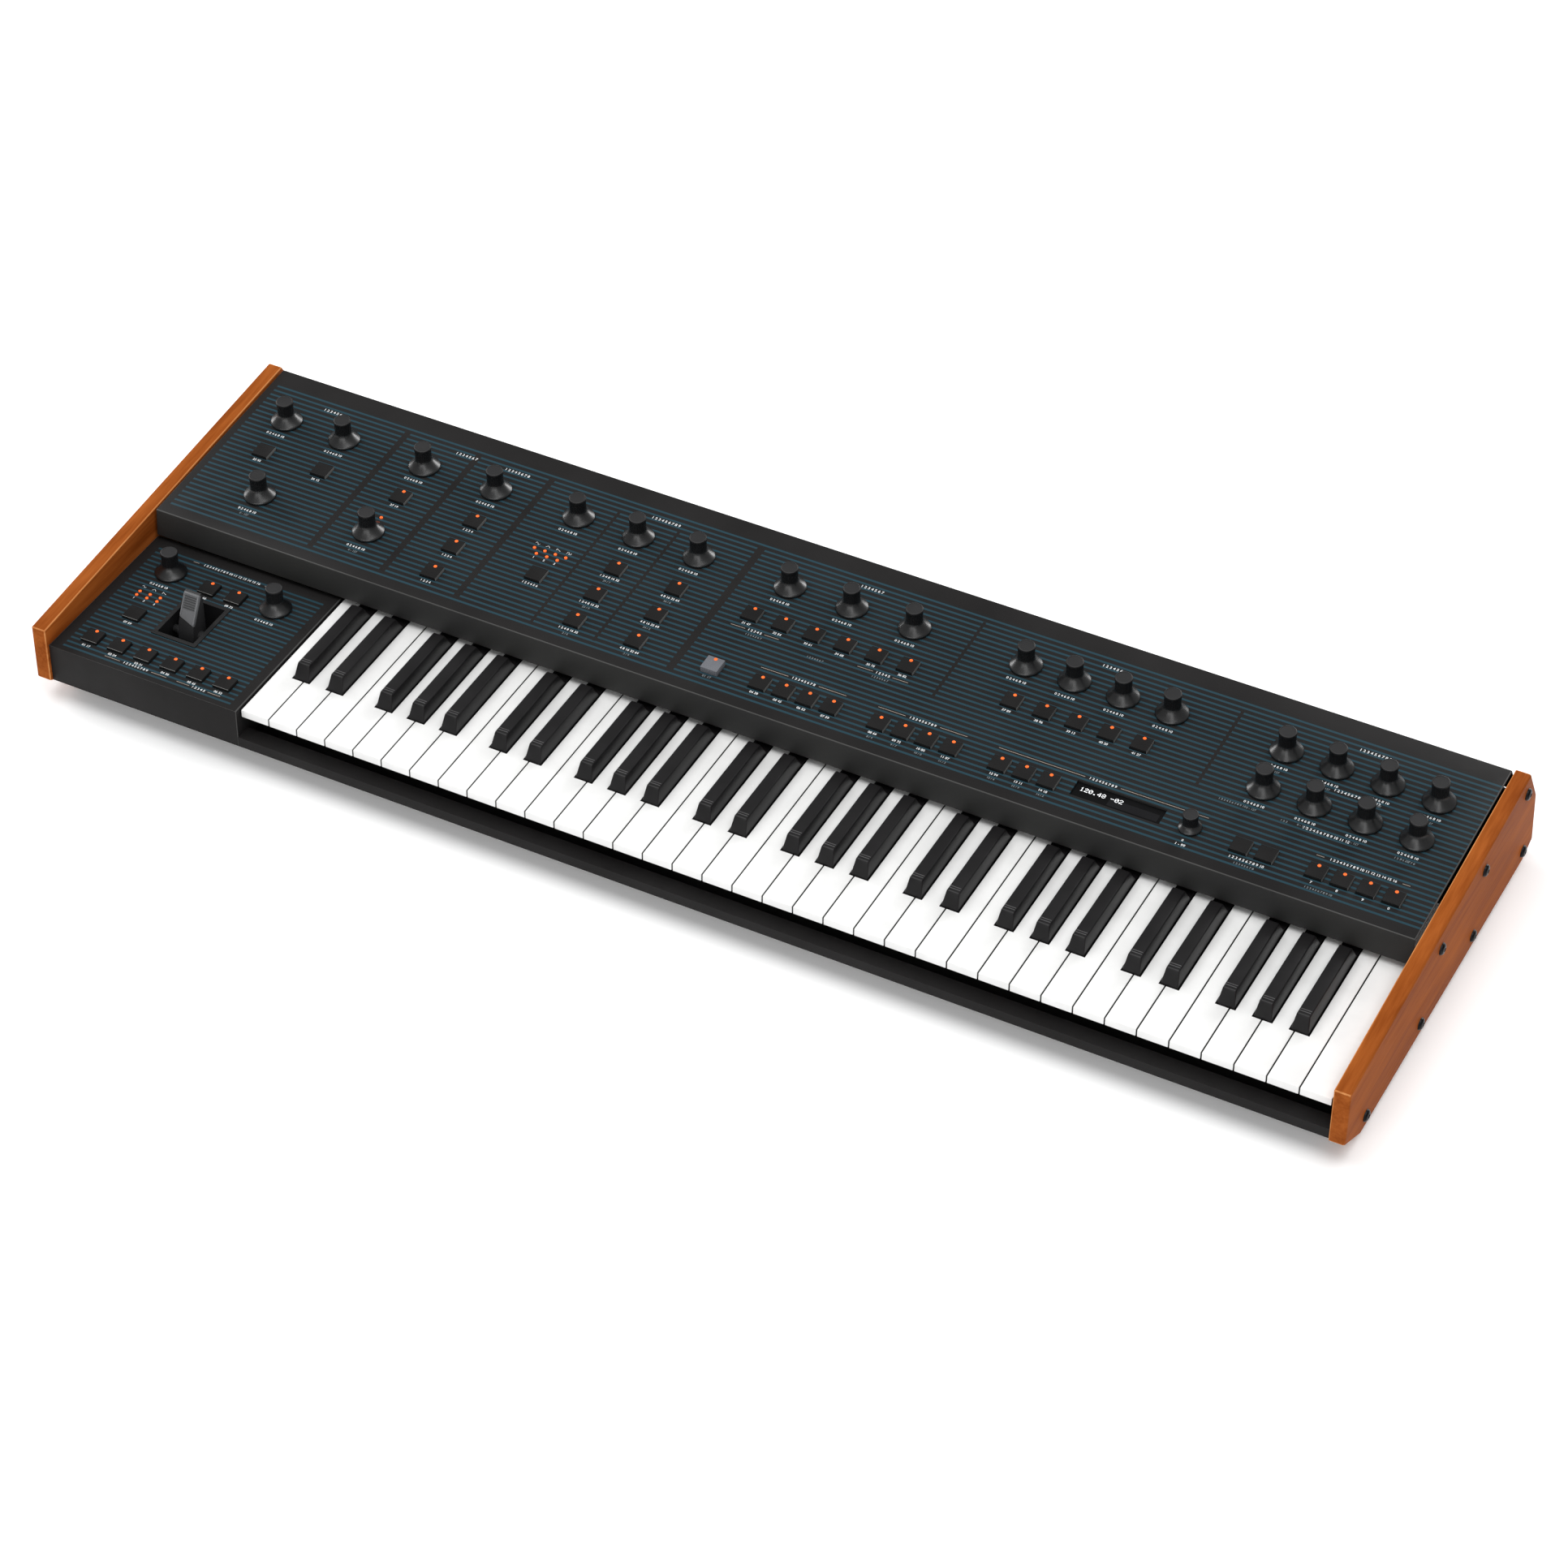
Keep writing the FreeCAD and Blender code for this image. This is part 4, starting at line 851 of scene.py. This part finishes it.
rails = [settle(block("rail", (0.7, 0.8, length), (side * 6.0, -0.5, middle), 0.25), FACE)
         for side, length, middle in ((-1, 17.5, 2.6), (1, 22.0, 0.3))]
rails.append(settle(block("rail", (11.6, 0.8, 0.7), (0, -0.5, 11.3), 0.25), FACE))
own(joined("lever_rails", rails), "lever_body", "lever_grey", rim_plastic)
print("ribs:", len(ribs), "rails:", len(rails))

# %% Lever bosses
BOSS = [(4.6, -2.4), (4.6, 1.6), (4.1, 2.2), (2.0, 2.4), (0.4, 2.4)]
sides = [Matrix.Translation(LEVER_AT + Vector((side * 8.9 * MM, 0, 0)))
         @ Matrix.Rotation(math.radians(90 * side), 4, "Y") for side in (-1, 1)]
own(joined("lever_bosses", copies(smooth(turned("boss", BOSS, 32)), sides)),
    "lever_body", "lever_grey", hub_plastic)
print("bosses set")

# %% [markdown]
# ## Printed marks
# Section titles, scale marks and the names of controls are screen-printed in white and blue-grey
# ink, a few hundredths of a millimetre thick. Here every mark is a plain number. Each one is a
# text object made into a mesh, laid five hundredths above the paint so that the two surfaces never
# fight for the same place. Lines and wave symbols are narrow quads between two points.

# %% Ink helpers
INK_UP, INK_SPREAD = 0.05, 0.06
CAPITAL = 0.7  # a capital's share of a text's size
ink = {}


def label(panel, text, column, row, height=2.3, kind="white"):
    """A printed number, centred on a place, its height that of a capital letter in mm."""
    fresh()
    bpy.ops.object.text_add()
    piece = bpy.context.object
    piece.data.body = text
    piece.data.size = height / CAPITAL * MM
    piece.data.resolution_u, piece.data.offset = 3, INK_SPREAD * MM
    piece.data.align_x, piece.data.align_y = "CENTER", "CENTER"
    pick(piece)
    bpy.ops.object.convert(target="MESH")
    settle(bpy.context.object, spot(panel, column, row, INK_UP))
    ink.setdefault((panel is UPPER, kind), []).append(bpy.context.object)


def stroke(panel, start, end, width=0.35, kind="white"):
    """A printed line between two places on a panel."""
    fresh()
    bpy.ops.mesh.primitive_plane_add(size=1)
    piece = bpy.context.object
    across, along = end[0] - start[0], end[1] - start[1]
    length = math.hypot(across, along) + width * 0.6
    piece.scale = (length * MM, width * MM, 1)
    turn = math.degrees(math.atan2(along, across))
    middle = ((start[0] + end[0]) / 2, (start[1] + end[1]) / 2)
    settle(piece, spot(panel, *middle, INK_UP, turn))
    ink.setdefault((panel is UPPER, kind), []).append(piece)


def chain(panel, points, column, row, scale=1.0, kind="white"):
    """Strokes through points, such as a wave symbol."""
    placed = [(column + x * scale, row + y * scale) for x, y in points]
    for start, end in zip(placed, placed[1:]):
        stroke(panel, start, end, 0.3, kind)


def bracket(panel, left, right, row, text):
    """A title with a line at each side that reaches over its group."""
    middle, half = (left + right) / 2, len(text) * 0.72 + 1.5
    for start, end in ((left, middle - half), (middle + half, right)):
        if end - start > 1:
            stroke(panel, (start, row), (end, row), 0.45, "warm")
    label(panel, text, middle, row, 2.2)


print("ink helpers ready")

# %% Numbers under the knobs
def panel_place(joint):
    """The panel that a knob stands on, and its column and row there in mm."""
    place = Vector(joint["pos_m"])
    panel = UPPER if place.y > fold_y else LOWER
    local = panel.inverted() @ place
    return panel, local.x / MM, local.y / MM


for joint in knob_joints:
    panel, column, row = panel_place(joint)
    in_low_row = panel is UPPER and row < 60
    label(panel, "0 2 4 6 8 10", column, row - (18.3 if in_low_row else 16.8), 2.2)
    if in_low_row or column > 690:
        label(panel, "0 - 127", column, row - (22.9 if in_low_row else 21.9), 1.8, "grey")
panel, column, row = panel_place(encoder_joint)
label(panel, "0", column, row - 13.0, 2.0)
label(panel, "1 - 99", column, row - 17.6, 2.3)
print("knobs numbered:", len(knob_joints))

# %% Numbers under the caps
UNDER_CAP, SECOND_LINE = 10.0, 14.6  # how far below a cap's middle its two lines lie
WIDE_MARKS = {182: "1 2 4 8 16 32", 232: "4 8 16 32 64", 62: "1 2 3 4", 132: "1 2 3 4 5 6"}
for node, spots in cap_spots.items():
    panel = LOWER if node == "caps_lower" else UPPER
    for number, (column, row, _) in enumerate(spots, start=1):
        if panel is UPPER and column > 700 and row < 40:
            if column > 740:
                label(panel, str(number % 10), column, row - UNDER_CAP, 2.2)
            continue
        wide = [text for start, text in WIDE_MARKS.items() if abs(column - start) < 2]
        kind = "grey" if node == "cap_hold" else "white"
        text = wide[0] if wide else f"{number:02d} {number * 7 % 90 + 10}"
        label(panel, text, column, row - UNDER_CAP, 2.1, kind)
        if panel is UPPER and (150 < column < 260 or (column > 410 and row < 40)):
            label(panel, f"{number} / {number * 3 % 10}", column, row - SECOND_LINE, 1.8, "grey")
print("caps numbered:", sum(len(spots) for spots in cap_spots.values()))

# %% Section titles, group lines and wave symbols
COUNT = "1 2 3 4 5 6 7 8 9 10 11 12 13 14 15 16"
TITLES = {-99: 11, 19: 13, 63: 15, 190: 17, 361: 13, 553: 11, 755: 17}
for column, length in TITLES.items():
    label(UPPER, COUNT[:length], column, 154.0, 2.5)
GROUPS = [(326.3, 394.4, 15), (420.3, 490.2, 17), (515.1, 675.3, 17), (756.0, 824.6, 38)]
for left, right, length in GROUPS:
    bracket(UPPER, left, right, 45.2, COUNT[:length])
bracket(UPPER, 285.3, 324.0, 76.4, COUNT[:9])
bracket(UPPER, 388.0, 428.0, 76.4, COUNT[:9])
bracket(LOWER, -121.0, -54.0, 126.6, COUNT)
bracket(LOWER, -119.0, -66.0, 4.2, COUNT[:17])
bracket(LOWER, -57.0, -20.0, 4.2, COUNT[:9])
label(UPPER, COUNT[:26], 759.6, 109.0, 2.3)
label(UPPER, COUNT[:26], 754.2, 65.7, 2.3)
label(UPPER, COUNT[:20], 715.0, 18.0, 2.3)
for column, row, length in ((723, 65.5, 5), (812, 66.0, 15), (770, 13.5, 20), (715, 13.4, 15),
                            (683.7, 66.5, 20), (306, 71.5, 13), (408, 71.5, 13), (357, 69.5, 13)):
    label(UPPER, COUNT[:length], column, row, 1.8, "grey")
WAVES = {
    "sine": [(-1.5, 0), (-1.1, 0.8), (-0.6, 0.9), (0, 0), (0.6, -0.9), (1.1, -0.8), (1.5, 0)],
    "peak": [(-1.5, -0.8), (0, 0.8), (1.5, -0.8)],
    "fall": [(-1.5, -0.8), (-1.5, 0.8), (1.5, -0.8)],
    "square": [(-1.5, -0.8), (-1.5, 0.8), (0, 0.8), (0, -0.8), (1.5, -0.8), (1.5, 0.8)],
}
for number, points in enumerate(WAVES.values()):
    chain(UPPER, points, 116.0 + 8.8 * number, 91.6, 1.1)
    if number < 3:
        chain(LOWER, points, -137.4 + 8.9 * number, 84.6, 1.1)
        label(UPPER, str(number + 1), 120.4 + 8.8 * number, 76.8, 1.9)
        label(LOWER, str(number + 1), -137.4 + 8.9 * number, 70.2, 1.9)
INKS = {"white": white_ink, "grey": grey_ink, "warm": warm_ink}
for (upper, kind), pieces in ink.items():
    name = f"print_{'upper' if upper else 'lower'}_{kind}"
    print(name, len(pieces), "marks")
    own(joined(name, pieces), "case", "case_paint", INKS[kind])

# %% [markdown]
# ## The display
# A dark glass window sits behind its opening, with white characters that shine through it. The
# characters are built from small square dots, as on a dot-matrix display, so each one is a grid
# of five by seven. Beside them the glass shows the display's unlit field, a little paler.

# %% Dot-matrix characters
DOTS = {
    "0": "01110 10001 10011 10101 11001 10001 01110",
    "1": "00100 01100 00100 00100 00100 00100 01110",
    "2": "01110 10001 00001 00110 01000 10000 11111",
    "4": "00010 00110 01010 10010 11111 00010 00010",
    "8": "01110 10001 10001 01110 10001 10001 01110",
    ".": "00000 00000 00000 00000 00000 01100 01100",
    "-": "00000 00000 00000 11111 00000 00000 00000",
}
DOT_PITCH, DOT_SHARE, CHARACTER = 0.55, 0.86, 6  # pitch in mm, lit share of it, dots a character
glass_low, glass_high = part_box("display_window")
display_middle = UPPER.inverted() @ ((glass_low + glass_high) / 2)
DISPLAY = (display_middle.x / MM, display_middle.y / MM)
glass_top = solids_of("display_window", UPPER)[0][1].z / MM


def dot(column, row):
    """One square dot on the glass, its place in mm."""
    fresh()
    bpy.ops.mesh.primitive_plane_add(size=DOT_PITCH * DOT_SHARE * MM)
    return settle(bpy.context.object, spot(UPPER, column, row, glass_top + INK_UP))


def dot_text(text, left, top):
    """Square dots for each lit place of each character."""
    parts = []
    for index, character in enumerate(text):
        for down, bits in enumerate(DOTS.get(character, "").split()):
            for across, bit in enumerate(bits):
                if bit == "1":
                    column = left + (index * CHARACTER + across) * DOT_PITCH
                    parts.append(dot(column, top - down * DOT_PITCH))
    return joined("display_text", parts)


digits = dot_text("120.48 -02", DISPLAY[0] - 29.5, DISPLAY[1] + 3.6)
own(digits, "case", "display_black", digit_glow)
field = block("display_field", (38.0, 7.0, 0.03), (0, 0, 0))
settle(field, spot(UPPER, DISPLAY[0] + 12.0, DISPLAY[1] - 1.5, glass_top + 0.02))
own(field, "case", "display_black", display_field)
print("display at", [round(v, 1) for v in DISPLAY])

# %% [markdown]
# ## Screws and sockets
# Each cheek is held by seven domed black screws. A dome is a turned profile, and its recess is the
# last steps of the profile, which go back down into the head. The back carries nuts on the jacks,
# pins in the round sockets, a tongue in the square one and blades in the mains inlet: small turned
# or boxed forms, set where the frame has its sockets.

# %% Cheek screws
def screw(name, radius, rise):
    """A domed head with a round recess in its middle."""
    shank = [(radius * 0.55, -2.0), (radius * 0.55, 0.0)]
    dome = [(1.0, 0.0), (0.97, 0.4), (0.85, 0.72), (0.65, 0.92), (0.42, 1.0)]
    recess = [(0.36, 0.1), (0.34, 0.9), (0.05, 1.0)]
    profile = shank + [(radius * across, rise * up) for across, up in dome]
    profile += [(radius * across, rise - down) for across, down in recess]
    return smooth(turned(name, profile, 24), 40)


def screws_set(name, radius, rise, places):
    """One screw at each place, joined as one piece of black steel."""
    made = joined(name + "s", copies(screw(name, radius, rise), places))
    return own(made, "case", "rod_steel", black_steel)


LOW_ROW = [(30 + 98.3 * i, -35.0) for i in range(4)]
HIGH_ROW = [(155.4 + 80.4 * i, 12.3 + 6.68 * i) for i in range(3)]
cheek_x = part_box("cheek_right")[1].x
screw_places = []
for side in (-1, 1):
    for back, over in LOW_ROW + HIGH_ROW:
        place = Vector((side * cheek_x, KEY_FRONT + back * MM, KEY_TOP + over * MM))
        outwards = Matrix.Rotation(math.radians(90 * side), 4, "Y")
        screw_places.append(Matrix.Translation(place) @ outwards)
screws_set("cheek_screw", 4.6, 2.6, screw_places)
print("cheek screws:", len(screw_places))

# %% Places on the back
OUT = Matrix.Rotation(math.radians(-90), 4, "X")


def rear_spots(node):
    """Middle of each socket of a node, as a matrix whose Z points out of the back."""
    made = []
    for low, high in solids_of(node, Matrix()):
        middle = (low + high) / 2
        made.append(Matrix.Translation((middle.x, high.y, middle.z)) @ OUT)
    return made


print("rear helpers ready")

# %% Nuts and pins
BORE = 3.55
NUT = [(3.6, -2.4), (7.2, -2.4), (7.2, -0.6), (6.8, -0.2), (5.7, -0.2), (5.7, 0.3),
       (5.2, 0.5), (3.5, 0.5), (3.4, 0.1), (3.4, -8.0)]
nut = turned("nut", NUT, 24)
for material in (bright_steel, socket_plastic):
    nut.data.materials.append(material)
for polygon in nut.data.polygons:
    middle = polygon.center / MM
    polygon.material_index = int(middle.xy.length < BORE and middle.z < 0.2)
nuts = copies(smooth(nut), rear_spots("jack_sockets"))
own(joined("jack_nuts", nuts), "case", "socket_steel")

PIN = [(0.75, -1.0), (0.75, 3.6), (0.55, 3.9), (0.2, 3.95)]
PIN_CIRCLE, PIN_DEPTH = 5.0, -9.5
pins = []
for place in rear_spots("din_sockets"):
    for turn in (-90, -45, 0, 45, 90):
        angle = math.radians(turn - 90)
        across, up = PIN_CIRCLE * math.cos(angle), PIN_CIRCLE * math.sin(angle)
        pins.append(place @ Matrix.Translation(Vector((across, up, PIN_DEPTH)) * MM))
pin = smooth(turned("pin", PIN, 12))
own(joined("din_pins", copies(pin, pins)), "case", "socket_steel", brass)
print("nuts:", len(nuts), "pins:", len(pins))

# %% Tongue and blades
place = rear_spots("usb_socket")[0]
tongue = settle(block("usb_tongue", (5.6, 3.2, 7.0), (0, 0, -4.8), 0.3), place)
own(tongue, "case", "socket_black", grey_plastic_and_gap_shade)
place = rear_spots("mains_inlet")[0]
blades = [settle(block("blade", (2.0, 4.0, 14.0), (x, y, -10.0), 0.4), place)
          for x, y in ((-7.0, -2.0), (7.0, -2.0), (0.0, 2.5))]
own(joined("inlet_blades", blades), "case", "socket_steel", bright_steel)
print("blades:", len(blades))

# %% Screws of the back and the pan
low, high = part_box("rear_panel")
rear_places = []
for row in (low.z + 7 * MM, high.z - 7 * MM):
    for step in range(9):
        x = low.x + 12 * MM + step * (high.x - low.x - 24 * MM) / 8
        rear_places.append(Matrix.Translation((x, high.y, row)) @ OUT)
screws_set("rear_screw", 2.7, 1.5, rear_places)
DOWN = Matrix.Rotation(math.radians(180), 4, "X")
low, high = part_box("case_pan")
columns = (low.x * 0.93, low.x * 0.45, 0, high.x * 0.45, high.x * 0.93)
under_places = [Matrix.Translation((x, y, low.z)) @ DOWN
                for x in columns for y in (low.y + 34 * MM, high.y - 34 * MM)]
screws_set("under_screw", 2.7, 1.5, under_places)
print("screws:", len(rear_places), "and", len(under_places))

# %% [markdown]
# ## Stage, light and camera
# The floor is plain and pale, wide enough to fill the picture. A broad panel of light overhead
# gives an even white and a short soft shadow in front. Tall panels at the left and right, and a
# small one above the camera, put soft highlights on the polished skirts. The camera stands high at
# the front right with a long lens, so that parallel edges stay nearly parallel.

# %% Floor
fresh()
bpy.ops.mesh.primitive_plane_add(size=24)
floor = bpy.context.object
floor.name = "studio_floor"
floor_paint, shader, where = blank("studio_floor", Roughness=0.9)
shader.inputs["Specular IOR Level"].default_value = 0.1
shader.inputs["Emission Color"].default_value = (1, 1, 1, 1)
shader.inputs["Emission Strength"].default_value = 0.14
clouds = noise(floor_paint, where, 2, 2)
wire(floor_paint, ramp(floor_paint, clouds, tone("fafafa"), tone("ffffff")), shader, "Base Color")
floor.data.materials.append(floor_paint)
print("floor ready")


# %% Lights
def panel_light(name, place, target, size, watts):
    """An area light at a place, facing a target."""
    data = bpy.data.lights.new(name, "AREA")
    data.shape, data.size, data.size_y = "RECTANGLE", size[0], size[1]
    data.energy = watts
    lamp = bpy.data.objects.new(name, data)
    bpy.context.scene.collection.objects.link(lamp)
    lamp.location = place
    lamp.rotation_euler = (Vector(target) - Vector(place)).to_track_quat("-Z", "Y").to_euler()


panel_light("overhead", (0.0, -0.4, 3.6), (0, 0, 0), (5, 3), 128)
panel_light("front_box", (0.4, -3.0, 1.5), (0, 0, 0.1), (3.2, 1.2), 20)
panel_light("high_box", (1.5, -2.9, 2.9), (0, 0, 0.1), (1.4, 1.2), 12)
panel_light("left_box", (-2.9, 0.7, 1.0), (0, 0, 0.1), (0.9, 1.8), 36)
panel_light("right_box", (0.7, 2.9, 1.0), (0.2, 0, 0.1), (0.9, 1.8), 36)
world = bpy.data.worlds.new("soft_room")
bpy.context.scene.world = world
world.use_nodes = True
background = world.node_tree.nodes["Background"]
background.inputs["Color"].default_value = (1, 1, 1, 1)
background.inputs["Strength"].default_value = 0.3
bpy.context.scene.view_settings.view_transform = "Standard"
print("lights:", len(bpy.data.lights))

# %% Camera
camera = bpy.data.objects.new("camera", bpy.data.cameras.new("camera"))
bpy.context.scene.collection.objects.link(camera)
camera.location = (1.16225, -2.25512, 2.23267)
camera.rotation_euler = [math.radians(v) for v in (48.502945, -0.31705984, 27.352844)]
camera.data.sensor_width, camera.data.lens = 36, 106.897
camera.data.shift_x, camera.data.shift_y = -0.0002, 0.00122
camera.data.clip_end = 50
bpy.context.scene.camera = camera
print("camera", [round(v, 3) for v in camera.location])

# %% Finish with nothing selected
fresh()
